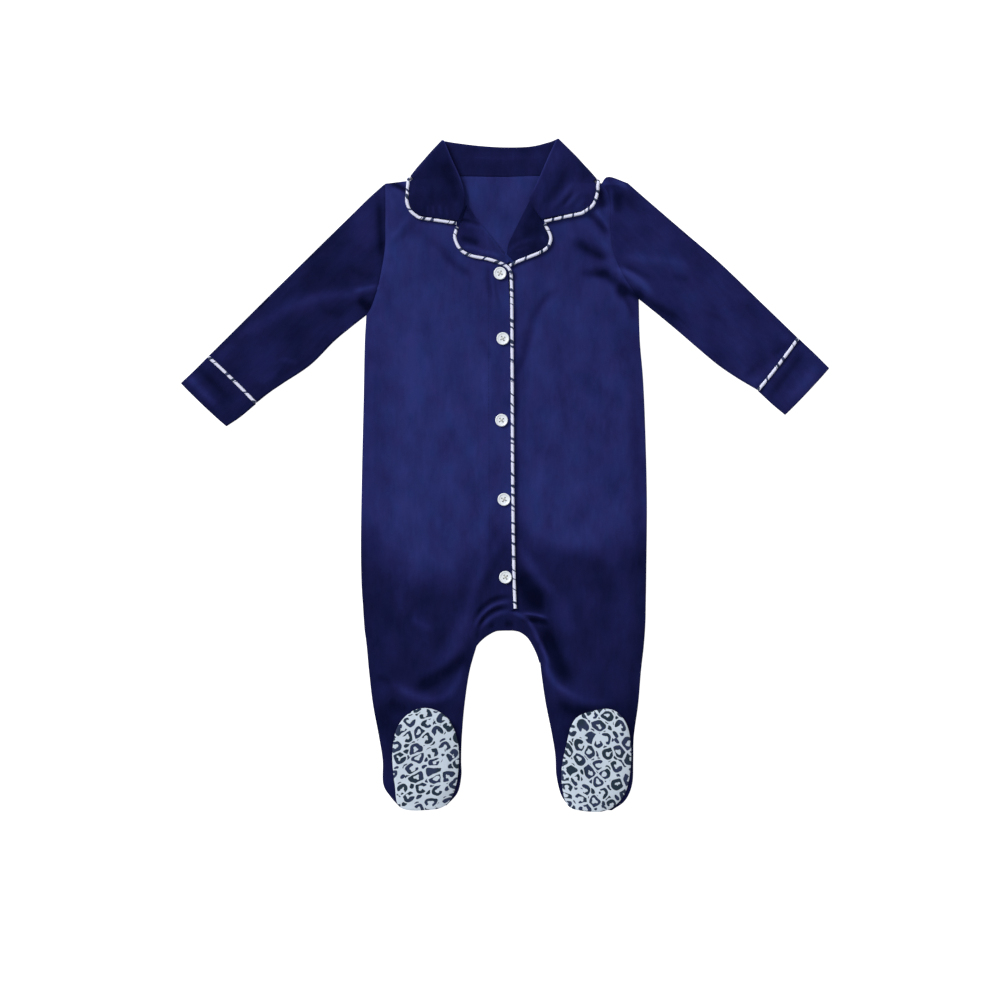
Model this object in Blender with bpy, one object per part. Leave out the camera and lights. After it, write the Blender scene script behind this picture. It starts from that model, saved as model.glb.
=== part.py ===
"""Footed one-piece pajama in velvet, laid flat on its back.

The wearer's right is at -X, the collar at +Y, and the back rests on z = 0. Tables and sizes are in
millimetres. Every piece of cloth is a wall of its real thickness. The pieces are cut to the same edge
tables, and the heights of all upper layers come from upper(), so that neighbours meet at their seams.
"""

import math

import bmesh
import bpy
import numpy as np
from mathutils import Vector
from mathutils.geometry import delaunay_2d_cdt

MM = 0.001

WALL = 1.2             # velvet, pile included
SEAM = 0.3             # between pieces that are sewn edge to edge
STACK = 0.5            # between layers that lie on each other
LOFT = 1.8             # air between front and back, away from the side seams
ROUND = 12.0           # width over which the front rises from a side seam
LAP_RISE = WALL + STACK + 0.2

PIPING = 3.4           # piping, diameter
PIPING_SIDES = 6
PIPING_GAP = 1.0       # between the collar's edge and its piping
CUFF_PIPING_IN = 0.2   # how far the cuff piping stays inside the sleeve's silhouette
CUFF_PIPING_UP = 0.4   # how far it stands out of the seam

BUTTON = 11.6          # 18 line button, diameter
BUTTON_THICK = 2.4
BUTTON_RIM = 0.9       # width of the raised rim
BUTTON_DISH = 0.7      # depth of the dish inside the rim
BUTTON_EDGE = 0.4      # rounding of the outer edge
BUTTON_SLOPE = 0.8     # width of the slope from the rim into the dish
BUTTON_HOLE = 1.5
BUTTON_PITCH = 2.9     # between hole centres

LAPEL_WALL = 1.6       # facing and turned-back front together
LAPEL_CURL = 1.8       # width of the lapel's roll past the front's V edge
LAPEL_DROP = 1.3       # how far the roll curls down
COLLAR_AIR = 0.5       # extra room under a collar leaf
COLLAR_BULGE = 1.0     # radius of the collar's roll
TURN_ROOM = 0.7        # that the collar's piping swings wider round the shoulder turns
FOLD_INSET = 0.3       # air past the fold of a sleeve or cuff
FOLD_ROUND = 0.8       # depth of such a fold
GUSSET_INSET = 1.5     # from the crotch outline to the middle of the gusset's fold
GUSSET_ROUND = 0.9
GUSSET_GAP = 0.45      # between the gusset and what it is sewn to
ARMHOLE_GAP = 0.65     # between a sleeve's first ring and the armhole

SOLE_WALL = 1.5
SOLE_DOME = 0.9        # how much the sole's middle stands above its rim
SOLE_DOME_WIDTH = 14.0
TOE_RISE = 3.6         # the folded foot under the toe end of the sole
TOE_REACH = 1.15       # the rise is complete a little before the toe end
ANKLE = 0.42           # where the folded foot starts, as a share of the sole
FOOT_SCALE = 0.94      # outline of the foot's upper in that of the sole
FOOT_RIM = 9.0         # width over which the upper rises to the sole's rim
FOOT_AIR = 0.3

ARMHOLE_ROWS = 10      # points along an armhole, and across a sleeve
BODY_ROWS = 14
LEG_ROWS = 13
PIPING_END = 5         # points that carry the collar's piping round the end of a leaf

# Rows of a front: the point on its outer edge (armhole, side seam, leg) and on its inner edge.
# columns: outer_x, outer_y, inner_x, inner_y
YOKE_RIGHT = [
    (-110.5, 267.0, -54.0, 272.5),
    (-110.0, 252.5, -47.5, 262.0),
    (-110.0, 229.5, -38.8, 246.2),
    (-110.5, 207.5, -27.7, 231.9),
    (-115.5, 178.0, -15.2, 215.6),
    (-122.0, 156.0, -5.2, 201.5),
    (-127.5, 146.5, 1.5, 189.5),
]
BODY_RIGHT = [
    (-127.5, 146.5, 1.5, 189.5),
    (-129.0, 119.0, 3.8, 152.0),
    (-130.0, 68.5, 4.4, 90.0),
    (-131.5, 4.0, 4.9, 10.0),
    (-132.5, -60.5, 5.6, -62.0),
    (-132.0, -98.5, 6.4, -100.0),
    (-130.5, -123.0, 7.2, -124.5),
]
SEAT_RIGHT = [
    (-130.5, -123.0, 7.2, -124.5),
    (-130.1, -130.0, -4.5, -127.0),
    (-129.6, -137.0, -13.5, -130.5),
    (-129.0, -144.0, -19.7, -135.5),
    (-128.0, -151.0, -23.2, -144.5),
    (-127.0, -159.5, -26.5, -156.0),
]
LEG_RIGHT = [
    (-127.0, -159.5, -26.5, -156.0),
    (-125.0, -181.5, -33.5, -181.0),
    (-121.5, -211.0, -38.0, -211.0),
    (-116.0, -240.5, -40.5, -240.5),
    (-112.5, -262.5, -41.2, -262.0),
    (-112.0, -284.5, -41.0, -277.0),
    (-105.0, -296.5, -44.5, -292.5),
    (-96.5, -306.0, -54.5, -304.0),
]
YOKE_LEFT = [
    (88.5, 267.0, 46.0, 266.8),
    (95.0, 258.0, 40.0, 260.5),
    (97.0, 243.0, 30.0, 252.0),
    (97.0, 226.0, 21.5, 240.0),
    (99.5, 205.0, 11.5, 223.5),
    (108.5, 183.5, 1.5, 204.5),
    (123.0, 161.5, -9.0, 186.5),
]
BODY_LEFT = [
    (123.0, 161.5, -9.0, 186.5),
    (124.0, 123.5, -13.0, 133.0),
    (127.0, 87.0, -13.0, 87.0),
    (129.0, 41.0, -13.0, 41.0),
    (130.5, -23.5, -13.0, -23.5),
    (130.0, -85.5, -13.0, -83.5),
    (129.5, -119.0, -11.0, -118.0),
]
SEAT_LEFT = [
    (129.5, -119.0, -11.0, -118.0),
    (129.4, -126.0, 6.5, -125.8),
    (129.3, -131.5, 13.0, -128.0),
    (129.1, -137.0, 19.7, -131.7),
    (128.8, -143.0, 25.2, -138.0),
    (128.3, -150.0, 28.0, -146.5),
    (127.5, -159.5, 31.3, -158.5),
]
LEG_LEFT = [
    (127.5, -159.5, 31.3, -158.5),
    (125.0, -181.5, 33.5, -181.0),
    (122.5, -211.0, 37.5, -209.0),
    (118.5, -240.5, 43.3, -238.0),
    (118.0, -262.5, 46.5, -258.0),
    (117.0, -284.5, 47.5, -276.5),
    (110.5, -299.5, 51.5, -293.5),
    (98.5, -308.5, 58.0, -304.0),
]

# Rows of a sleeve or cuff: across the flat tube from the upper edge over the middle to the lower edge.
# columns: over_x, over_y, mid_x, mid_y, under_x, under_y
SLEEVE_RIGHT = [
    (-137.5, 241.8, -145.0, 187.0, -141.5, 135.5),
    (-165.0, 215.0, -166.0, 162.0, -157.5, 122.0),
    (-192.5, 188.0, -188.0, 140.0, -179.0, 100.5),
    (-219.5, 161.5, -209.5, 117.0, -203.5, 84.0),
    (-246.5, 134.8, -230.5, 103.0, -216.0, 75.5),
    (-271.7, 109.9, -249.5, 89.5, -227.2, 66.7),
]
CUFF_RIGHT = [
    (-274.5, 107.0, -252.5, 86.5, -230.0, 63.7),
    (-286.5, 95.0, -266.0, 74.0, -243.5, 52.5),
    (-298.0, 84.2, -277.0, 63.5, -255.8, 44.3),
]
SLEEVE_LEFT = [
    (112.5, 268.0, 130.0, 207.0, 141.0, 147.0),
    (132.5, 250.5, 150.0, 190.0, 159.0, 132.0),
    (164.5, 223.0, 174.0, 168.0, 177.5, 116.0),
    (196.5, 195.5, 197.5, 146.0, 196.0, 100.5),
    (231.5, 162.0, 222.5, 125.0, 213.5, 88.5),
    (268.0, 126.9, 249.7, 102.1, 230.5, 78.4),
]
CUFF_LEFT = [
    (271.1, 124.1, 252.8, 99.3, 233.6, 75.6),
    (285.0, 111.0, 266.0, 87.0, 245.5, 64.5),
    (298.0, 98.0, 278.0, 76.0, 257.2, 54.8),
]
SLEEVE_CAP_LEFT = [(89.0, 269.5), (95.0, 273.6), (103.0, 273.5)]
NECK_BACK = [(-54.0, 272.5), (-43.0, 273.4), (0.0, 273.0), (35.0, 273.4), (46.0, 266.8)]    # x, y

# The gusset from the right leg to the left one: its seam with the fronts, and the fold at the crotch.
# columns: seam_x, seam_y, fold_x, fold_y
GUSSET = [
    (-25.2, -151.0, -22.6, -154.3),
    (-23.2, -144.5, -20.5, -151.5),
    (-19.7, -135.5, -14.5, -147.5),
    (-13.5, -130.5, -8.5, -144.2),
    (-4.5, -127.0, -3.0, -143.6),
    (1.0, -125.8, 2.5, -143.5),
    (6.5, -125.8, 8.0, -143.6),
    (13.0, -128.0, 13.5, -144.8),
    (19.7, -131.7, 18.5, -148.8),
    (25.2, -138.0, 22.5, -155.0),
    (28.0, -146.5, 26.0, -161.0),
    (31.3, -158.5, 29.3, -166.5),
]

# Stations of the collar, from the wearer's right front round the back to the left front: the seam at the
# neck, the roll, and the outer edge. turn is 0 where the fall lies on the front, 180 where it is under
# the back. columns: seam_x, seam_y, roll_x, roll_y, edge_x, edge_y, turn
COLLAR_RIGHT_FRONT = [
    (-51.0, 238.5, -43.5, 233.0, -80.5, 238.5, 0),
    (-47.0, 249.0, -38.0, 246.5, -86.5, 251.0, 0),
    (-48.5, 258.0, -38.5, 257.0, -87.0, 259.0, 0),
    (-51.0, 266.0, -43.0, 272.5, -86.6, 265.0, 0),
    (-53.0, 270.0, -50.0, 288.0, -85.6, 269.2, 0),
    (-54.0, 274.5, -56.5, 302.5, -83.0, 272.0, 0),
]
COLLAR_BACK = [
    (-54.0, 274.5, -56.5, 302.5, -83.0, 272.0, 180),
    (-44.0, 274.5, -47.0, 301.5, -69.0, 264.0, 180),
    (-24.0, 274.2, -24.0, 299.8, -37.0, 258.0, 180),
    (0.0, 274.0, 0.0, 298.4, 0.0, 256.5, 180),
    (22.0, 274.2, 24.0, 298.6, 36.0, 258.0, 180),
    (37.0, 274.4, 41.0, 301.5, 67.0, 263.0, 180),
    (46.5, 270.5, 48.0, 303.7, 80.2, 269.4, 180),
]
COLLAR_LEFT_FRONT = [
    (46.5, 270.5, 48.0, 303.7, 80.2, 269.4, 0),
    (45.0, 268.0, 41.0, 289.0, 82.2, 267.0, 0),
    (43.0, 265.0, 35.0, 275.0, 82.6, 263.5, 0),
    (41.0, 258.0, 31.5, 257.0, 82.0, 257.5, 0),
    (40.0, 250.0, 31.5, 247.0, 79.0, 250.5, 0),
    (42.5, 239.0, 36.5, 234.8, 71.0, 242.0, 0),
]
HIDDEN_EDGE = [row[4:6] for row in COLLAR_BACK]    # of the fall, under the back

# A lapel from the notch to the break: the roll at the V, and the piped edge.
# columns: roll_x, roll_y, edge_x, edge_y
LAPEL_RIGHT = [
    (-34.6, 247.0, -39.3, 233.2),
    (-32.0, 243.5, -42.4, 226.0),
    (-27.0, 236.0, -43.8, 217.5),
    (-20.5, 228.0, -40.5, 209.8),
    (-14.5, 220.0, -29.3, 202.6),
    (-8.0, 211.8, -17.5, 200.5),
    (-2.0, 203.0, -6.0, 197.2),
]
LAPEL_LEFT = [
    (27.5, 255.5, 33.4, 232.0),
    (25.5, 251.0, 37.6, 222.5),
    (20.0, 242.0, 39.8, 216.0),
    (14.0, 231.0, 37.3, 210.0),
    (8.5, 220.0, 30.5, 205.6),
    (4.5, 211.5, 19.0, 200.8),
    (5.0, 203.0, 10.0, 196.5),
]

# Largest folds in the upper layer, as soft ridges (height above 0) or troughs (below 0).
# columns: x0, y0, x1, y1, height, half_width
FOLDS = [
    (-142.0, 190.0, -114.0, 183.0, -1.3, 7.0),
    (-148.0, 163.0, -115.0, 170.0, 2.0, 6.0),
    (-134.0, 152.0, -124.0, 158.0, -1.4, 5.0),
    (78.0, 229.0, 112.0, 184.0, -1.4, 7.0),
    (100.0, 190.0, 150.0, 146.0, 2.0, 7.0),
    (-78.0, -197.0, -38.0, -173.0, -1.4, 8.0),
    (-108.0, -199.0, -58.0, -205.0, 2.0, 8.0),
    (-27.0, -136.0, -17.0, -120.0, 1.4, 6.0),
    (32.0, -162.0, 58.0, -199.0, 1.8, 7.0),
    (41.0, -150.0, 64.0, -196.0, -1.4, 8.0),
    (55.0, -203.0, 112.0, -205.0, 1.8, 8.0),
    (20.0, -90.0, 34.0, -118.0, -1.2, 9.0),
]

# Lapel piping: columns x, y
PIPING_LAPEL_RIGHT = [
    (-44.1, 227.0), (-45.0, 223.5), (-46.1, 217.5), (-42.8, 209.0), (-37.5, 203.6), (-29.5, 200.2),
    (-17.7, 198.0), (-5.5, 194.4), (2.5, 190.0), (5.6, 184.5),
]
PIPING_PLACKET = [
    (5.6, 184.5), (6.2, 160.0), (6.6, 90.0), (7.0, 5.0), (7.7, -62.0), (8.4, -98.0), (9.3, -123.0),
]
PIPING_LAPEL_LEFT = [
    (36.3, 230.0), (40.4, 222.5), (42.0, 216.0), (39.0, 208.5), (31.5, 203.4), (19.6, 198.6), (9.6, 193.8),
]

# Soles as worn shapes, toe end up. columns: x, y
SOLE_RIGHT = [
    (-73.5, -214.5), (-59.5, -218.5), (-49.5, -228.5), (-43.5, -247.0), (-42.8, -266.0), (-46.0, -288.0),
    (-54.5, -303.5), (-71.0, -307.8), (-96.0, -305.6), (-100.8, -285.0), (-103.0, -257.0), (-99.0, -233.5),
    (-87.5, -219.0),
]
SOLE_LEFT = [
    (92.0, -215.3), (71.5, -220.0), (62.0, -228.5), (57.0, -246.0), (52.4, -270.0), (53.3, -290.0),
    (58.5, -304.5), (71.0, -308.5), (90.0, -309.0), (103.0, -302.0), (112.0, -287.0), (115.5, -258.0),
    (112.5, -233.0), (104.0, -219.5),
]

BUTTONS = [(-4.6, 184.5), (-2.0, 124.6), (-3.2, 49.7), (-1.0, -23.0), (0.4, -94.3)]    # columns: x, y


def material(name, colour, roughness):
    """A plain Principled finish."""
    finish = bpy.data.materials.new(name)
    finish.use_nodes = True
    shader = finish.node_tree.nodes["Principled BSDF"]
    shader.inputs["Base Color"].default_value = (*colour, 1.0)
    shader.inputs["Roughness"].default_value = roughness
    return finish


def remove_old_objects():
    """Start from an empty scene."""
    for old in list(bpy.data.objects):
        bpy.data.objects.remove(old, do_unlink=True)


# ------------------------------------------------------------------ curves and distances

def ease(value):
    """Smooth step from 0 to 1."""
    value = np.clip(value, 0.0, 1.0)
    return value * value * (3.0 - 2.0 * value)


def spline(table, positions):
    """Catmull-Rom curve through a table's rows, read at positions from 0 to 1 along its knots."""
    knots = np.asarray(table, float)
    padded = np.vstack([2 * knots[0] - knots[1], knots, 2 * knots[-1] - knots[-2]])
    place = np.asarray(positions, float) * (len(knots) - 1)
    span = np.minimum(place.astype(int), len(knots) - 2)
    t = (place - span)[:, None]
    a, b, c, d = (padded[span + shift] for shift in range(4))
    return b + 0.5 * t * (c - a + t * (2 * a - 5 * b + 4 * c - d + t * (3 * b - a - 3 * c + d)))


def even(count):
    """Positions at even steps."""
    return np.linspace(0.0, 1.0, count)


def edge_dense(count):
    """Positions that crowd at both ends, where cloth turns round an edge."""
    return 0.5 * (1.0 - np.cos(math.pi * even(count)))


def toward(start, end, reach):
    """Each start moved by reach along the line to its end."""
    step = end - start
    return start + reach * step / np.linalg.norm(step, axis=-1, keepdims=True)


def distance(x, y, line):
    """From points to an open line of points, in the plane."""
    points = np.stack([np.ravel(x), np.ravel(y)], axis=1)
    line = np.asarray(line, float)
    nearest = np.full(len(points), np.inf)
    for start, end in zip(line[:-1], line[1:]):
        run = end - start
        share = np.clip((points - start) @ run / (run @ run), 0.0, 1.0)
        nearest = np.minimum(nearest, np.hypot(*(points - start - share[:, None] * run).T))
    return nearest.reshape(np.shape(x))


def columns(table, first, last):
    """Some columns of a table, as points."""
    return np.asarray(table, float)[:, first:last]


# ------------------------------------------------------------------ heights

SILHOUETTE = [
    columns(BODY_RIGHT, 0, 2), columns(SEAT_RIGHT, 0, 2), columns(LEG_RIGHT, 0, 2), columns(LEG_RIGHT, 2, 4),
    columns(BODY_LEFT, 0, 2), columns(SEAT_LEFT, 0, 2), columns(LEG_LEFT, 0, 2), columns(LEG_LEFT, 2, 4),
    columns(GUSSET, 2, 4),
    np.vstack([YOKE_RIGHT[0][0:2], columns(SLEEVE_RIGHT, 0, 2)]),
    np.vstack([YOKE_RIGHT[-1][0:2], columns(SLEEVE_RIGHT, 4, 6)]),
    np.vstack([SLEEVE_CAP_LEFT, columns(SLEEVE_LEFT, 0, 2)]),
    np.vstack([YOKE_LEFT[-1][0:2], columns(SLEEVE_LEFT, 4, 6)]),
    columns(CUFF_RIGHT, 0, 2), columns(CUFF_RIGHT, 4, 6), columns(CUFF_LEFT, 0, 2), columns(CUFF_LEFT, 4, 6),
    np.array([YOKE_RIGHT[0][0:2], YOKE_RIGHT[0][2:4]]), np.array([YOKE_LEFT[0][2:4], YOKE_LEFT[0][0:2]]),
]
COLLAR_LIFT = PIPING + SEAM    # the collar's fall and its piping, which lie under the back
LIFT_RAMP = 26.0
LAP_EDGE = BODY_LEFT[2][2]
LAP_RAMP = 11.0
LAP_END = 22.0


def lift(x, y):
    """How far the hidden part of the collar lifts the neck."""
    line = np.asarray(HIDDEN_EDGE, float)
    inside = y > np.interp(x, line[:, 0], line[:, 1], left=np.inf, right=np.inf)
    away = np.where(inside, 0.0, distance(x, y, line) - PIPING_GAP - PIPING)
    return COLLAR_LIFT * ease(1.0 - away / LIFT_RAMP)


def folds(x, y):
    """Sum of the largest folds."""
    total = np.zeros(np.shape(x))
    for x0, y0, x1, y1, height, half_width in FOLDS:
        away = distance(x, y, [(x0, y0), (x1, y1)])
        total += height * np.exp(-(away / half_width) ** 2)
    return total


def room(x, y):
    """Air between the back and the layer on it: none at the outline, more inside."""
    nearest = np.min([distance(x, y, line) for line in SILHOUETTE], axis=0)
    return np.maximum(0.0, ease(nearest / ROUND) * (LOFT + folds(x, y)))


def upper(x, y):
    """Underside of the layer that lies on the back."""
    return WALL + STACK + lift(x, y) + room(x, y)


def lap(x):
    """How far the right front is lifted where it laps over the left one."""
    return LAP_RISE * ease((x - LAP_EDGE + LAP_RAMP) / (LAP_RAMP - 1.0)) * ease((LAP_END - x) / LAP_RAMP)


def upper_lapped(x, y):
    """Underside of the right front."""
    return upper(x, y) + lap(x)


# ------------------------------------------------------------------ solids

def add_object(name, mesh, finish):
    """Link a mesh as a named object with one finish."""
    mesh.materials.append(finish)
    item = bpy.data.objects.new(name, mesh)
    bpy.context.scene.collection.objects.link(item)
    return item


def solid(name, points, faces, finish):
    """A closed solid from points in millimetres, its faces turned out."""
    mesh = bpy.data.meshes.new(name)
    mesh.from_pydata((np.asarray(points) * MM).tolist(), [], faces)
    shape = bmesh.new()
    shape.from_mesh(mesh)
    bmesh.ops.recalc_face_normals(shape, faces=shape.faces)
    shape.to_mesh(mesh)
    shape.free()
    mesh.shade_smooth()
    mesh.set_sharp_from_angle(angle=math.radians(50))
    return add_object(name, mesh, finish)


def wall(name, inner, outer, finish, ring=False):
    """A wall between two grids of points, open at its rims. ring joins the last column to the first."""
    rows, across = inner.shape[:2]
    points = np.vstack([inner.reshape(-1, 3), outer.reshape(-1, 3)])
    layer = rows * across
    faces = []
    for row in range(rows - 1):
        for column in range(across if ring else across - 1):
            beside = (column + 1) % across
            quad = [row * across + column, row * across + beside,
                    (row + 1) * across + beside, (row + 1) * across + column]
            faces.append(quad)
            faces.append([layer + corner for corner in reversed(quad)])
    rims = [[row * across + column for column in range(across)] for row in (0, rows - 1)]
    if ring:
        rims = [rim + rim[:1] for rim in rims]
    else:
        rims += [[row * across + column for row in range(rows)] for column in (0, across - 1)]
    for rim in rims:
        for near, far in zip(rim[:-1], rim[1:]):
            faces.append([near, far, layer + far, layer + near])
    return solid(name, points, faces, finish)


def sheet(name, middle, thick, finish, ring=False):
    """A wall of even thickness about a grid of middle points."""
    if ring:
        across = np.roll(middle, -1, axis=1) - np.roll(middle, 1, axis=1)
    else:
        across = np.gradient(middle, axis=1)
    normal = np.cross(np.gradient(middle, axis=0), across)
    normal /= np.linalg.norm(normal, axis=2, keepdims=True)
    return wall(name, middle - normal * thick / 2, middle + normal * thick / 2, finish, ring)


def plate(name, outline, inside, under, over, finish, holes=()):
    """A flat piece with an outline, inner points, holes, and a height for its underside and its top."""
    loops = [outline, *holes]
    starts = np.cumsum([0] + [len(loop) for loop in loops])
    constraints = [list(range(start, start + len(loop))) for start, loop in zip(starts, loops)]
    points = [Vector(point) for loop in loops for point in loop] + [Vector(point) for point in inside]
    flat, _, triangles, *_ = delaunay_2d_cdt(points, [], constraints, 2, 1e-4)
    x, y = np.array([tuple(point) for point in flat]).T
    below = np.column_stack([x, y, under(x, y)])
    above = np.column_stack([x, y, over(x, y)])
    count = len(flat)
    faces = [list(face) for face in triangles]
    faces += [[count + corner for corner in reversed(face)] for face in triangles]
    sides = {(a, b) for face in triangles for a, b in zip(face, face[1:] + face[:1])}
    faces += [[b, a, count + a, count + b] for a, b in sides if (b, a) not in sides]
    return solid(name, np.vstack([below, above]), faces, finish)


def tube(name, path, diameter, finish, closed=False):
    """A piping cord along a path of points, with flat ends."""
    path = np.asarray(path, float)
    if closed:
        run = np.roll(path, -1, axis=0) - np.roll(path, 1, axis=0)
    else:
        run = np.gradient(path, axis=0)
    run /= np.linalg.norm(run, axis=1, keepdims=True)
    side = np.cross(run, (0.0, 0.0, 1.0))
    weak = np.linalg.norm(side, axis=1) < 0.35
    side[weak] = np.cross(run[weak], (0.0, -1.0, 0.4))
    for index in range(1, len(side)):
        side[index] -= run[index] * (side[index] @ run[index])
        if side[index] @ side[index - 1] < 0:
            side[index] = -side[index]
    side /= np.linalg.norm(side, axis=1, keepdims=True)
    up = np.cross(side, run)
    angles = np.arange(PIPING_SIDES) * math.tau / PIPING_SIDES
    ring = side[:, None] * np.cos(angles)[:, None] + up[:, None] * np.sin(angles)[:, None]
    points = path[:, None] + ring * diameter / 2
    faces = []
    count = len(path)
    for row in range(count if closed else count - 1):
        for turn in range(PIPING_SIDES):
            beside = (turn + 1) % PIPING_SIDES
            ahead = (row + 1) % count
            faces.append([row * PIPING_SIDES + turn, row * PIPING_SIDES + beside,
                          ahead * PIPING_SIDES + beside, ahead * PIPING_SIDES + turn])
    if not closed:
        faces.append(list(range(PIPING_SIDES)))
        faces.append([(count - 1) * PIPING_SIDES + turn for turn in range(PIPING_SIDES)])
    return solid(name, points.reshape(-1, 3), faces, finish)


# ------------------------------------------------------------------ body

FRONT_ACROSS = edge_dense(12)


def front_rows(yoke, body, seat, leg):
    """Rows of a front from shoulder to heel, with the seat's rows just as its table gives them."""
    return np.vstack([
        spline(yoke, edge_dense(ARMHOLE_ROWS)), spline(body, even(BODY_ROWS))[1:],
        np.asarray(seat, float)[1:], spline(leg, even(LEG_ROWS))[1:],
    ])


def front(name, rows, under, finish):
    """One front: rows drawn across from its outer edge to its inner edge, a wall above under()."""
    outer, inner = rows[:, None, 0:2], rows[:, None, 2:4]
    outer = toward(outer, inner, SEAM / 2)
    share = FRONT_ACROSS[None, :, None]
    flat = outer * (1.0 - share) + inner * share
    height = under(flat[..., 0], flat[..., 1])
    below = np.dstack([flat, height])
    above = np.dstack([flat, height + WALL])
    return wall(name, below, above, finish)


def between(start, end):
    """Points on a straight edge, without its ends."""
    share = even(8)[1:-1, None]
    return start * (1.0 - share) + end * share


def back(rows_right, rows_left, finish):
    """The back: body and both legs in one piece, down to the heels."""
    seam = toward(columns(GUSSET, 0, 2), columns(GUSSET, 2, 4), -SEAM)
    neck_edge = [spline(NECK_BACK, even(19))[::-1], between(rows_right[0, 2:4], rows_right[0, 0:2])]
    outline = np.vstack([
        rows_right[:, 0:2] + (SEAM / 2, 0.0), rows_right[:-LEG_ROWS:-1, 2:4], seam,
        rows_left[1 - LEG_ROWS:, 2:4], rows_left[::-1, 0:2] - (SEAM / 2, 0.0),
        between(rows_left[0, 0:2], rows_left[0, 2:4]), *neck_edge,
    ])
    lifted = [(x, y) for y in range(206, 272, 9) for x in range(-102, 92, 9)]
    return plate("back", outline, lifted, lift, lambda x, y: lift(x, y) + WALL, finish)


def gusset(finish):
    """The gusset: a sheet folded over the crotch, with its two seams lying one above the other."""
    rows = np.asarray(GUSSET, float)
    seam, fold = rows[:, 0:2], rows[:, 2:4]
    fold = toward(fold, seam, GUSSET_INSET)
    seam = toward(seam, fold, GUSSET_GAP)
    share = even(5)[None, :, None]
    flat = seam[:, None] * (1.0 - share) + fold[:, None] * share
    x, y = flat[..., 0], flat[..., 1]
    top = upper_lapped(x, y) + WALL / 2
    bottom = np.full_like(top, WALL / 2)
    radius = (top[:, -1] - bottom[:, -1]) / 2
    outward = (fold - seam) / np.linalg.norm(fold - seam, axis=1, keepdims=True)
    angles = np.radians([60.0, 0.0, -60.0])
    reach = np.minimum(radius, GUSSET_ROUND)[:, None] * np.cos(angles)
    bend = np.dstack([
        fold[:, None] + outward[:, None] * reach[..., None],
        (top[:, -1:] + bottom[:, -1:]) / 2 + radius[:, None] * np.sin(angles),
    ])
    middle = np.concatenate([
        np.dstack([flat, top]), bend, np.dstack([flat, bottom])[:, ::-1],
    ], axis=1)
    return sheet("gusset", middle, WALL, finish)


# ------------------------------------------------------------------ sleeves and cuffs

def across_row(row, positions):
    """Points across a flat tube: a parabola through the row's upper, middle and lower points."""
    over, middle, under = row[0:2], row[2:4], row[4:6]
    t = positions[:, None]
    return over * (1 - t) * (1 - 2 * t) + middle * 4 * t * (1 - t) + under * t * (2 * t - 1)


def flat_tube(name, lines, finish):
    """A tube pressed flat: lines of points across it become rings, the underside on the floor."""
    lines = np.asarray(lines, float)
    inset = WALL / 2 + FOLD_INSET
    lines[:, 0] = toward(lines[:, 0], lines[:, -1], inset)
    lines[:, -1] = toward(lines[:, -1], lines[:, 0], inset)
    x, y = lines[..., 0], lines[..., 1]
    top = upper(x, y) + WALL / 2
    bottom = np.full_like(top, WALL / 2)
    top_line, bottom_line = lines.copy(), lines.copy()
    for line in (top_line, bottom_line):
        line[:, 0] = toward(line[:, 0], line[:, -1], FOLD_ROUND)
        line[:, -1] = toward(line[:, -1], line[:, 0], FOLD_ROUND)
    edge = (top + bottom) / 2
    middle = np.concatenate([
        np.dstack([top_line, top]),
        np.dstack([lines[:, -1:], edge[:, -1:]]),
        np.dstack([bottom_line, bottom])[:, ::-1],
        np.dstack([lines[:, :1], edge[:, :1]]),
    ], axis=1)
    return sheet(name, middle, WALL, finish, ring=True)


def sleeve(name, armhole, table, cap, finish):
    """A sleeve: its first ring follows the armhole, the rest come from the table."""
    positions = edge_dense(ARMHOLE_ROWS)
    start = spline(armhole, positions)
    rows = spline(table, even(9))
    lines = [across_row(row, positions) for row in rows]
    start = toward(start, lines[0], ARMHOLE_GAP)
    half = (start + lines[0]) / 2
    half[0] = cap
    return flat_tube(name, [start, half, *lines], finish)


def cuff(name, table, finish):
    """A cuff band."""
    positions = edge_dense(ARMHOLE_ROWS)
    return flat_tube(name, [across_row(row, positions) for row in np.asarray(table, float)], finish)


def cuff_piping(name, sleeve_end, cuff_start, finish):
    """The piping ring in a cuff seam, round the flat tube."""
    positions = even(8)
    line = (across_row(np.asarray(sleeve_end, float), positions)
            + across_row(np.asarray(cuff_start, float), positions)) / 2
    radius = PIPING / 2
    top = np.maximum(upper(line[:, 0], line[:, 1]) + WALL - radius + CUFF_PIPING_UP, 3 * radius + STACK)
    top[[0, -1]] = 3 * radius + STACK
    line[0] = toward(line[0], line[-1], radius + CUFF_PIPING_IN)
    line[-1] = toward(line[-1], line[0], radius + CUFF_PIPING_IN)
    bottom = np.full(len(line), radius)
    path = np.vstack([np.column_stack([line, top]), np.column_stack([line, bottom])[::-1]])
    return tube(name, path, PIPING, finish, closed=True)


# ------------------------------------------------------------------ collar and lapels

def leaf_height(x, y):
    """Middle of a collar leaf or a lapel, lying on the fronts."""
    return upper_lapped(x, y) + WALL + STACK + COLLAR_AIR + WALL / 2


def collar_stations():
    """Rows of the collar at even steps, with the turns at the shoulders drawn finely."""
    turns = []
    for row, angles in ((COLLAR_BACK[0], (30, 60, 90, 120, 150)), (COLLAR_BACK[-1], (150, 120, 90, 60, 30))):
        turns.append([(*row[:6], angle) for angle in angles])
    return np.vstack([
        spline(COLLAR_RIGHT_FRONT, even(9)), turns[0],
        spline(COLLAR_BACK, even(9)), turns[1], spline(COLLAR_LEFT_FRONT, even(9)),
    ])


FALL_ACROSS = np.array([0.0, 0.12, 0.28, 0.46, 0.66, 0.85, 1.0])
STAND_ACROSS = np.array([0.0, 0.5, 1.0])


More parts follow.
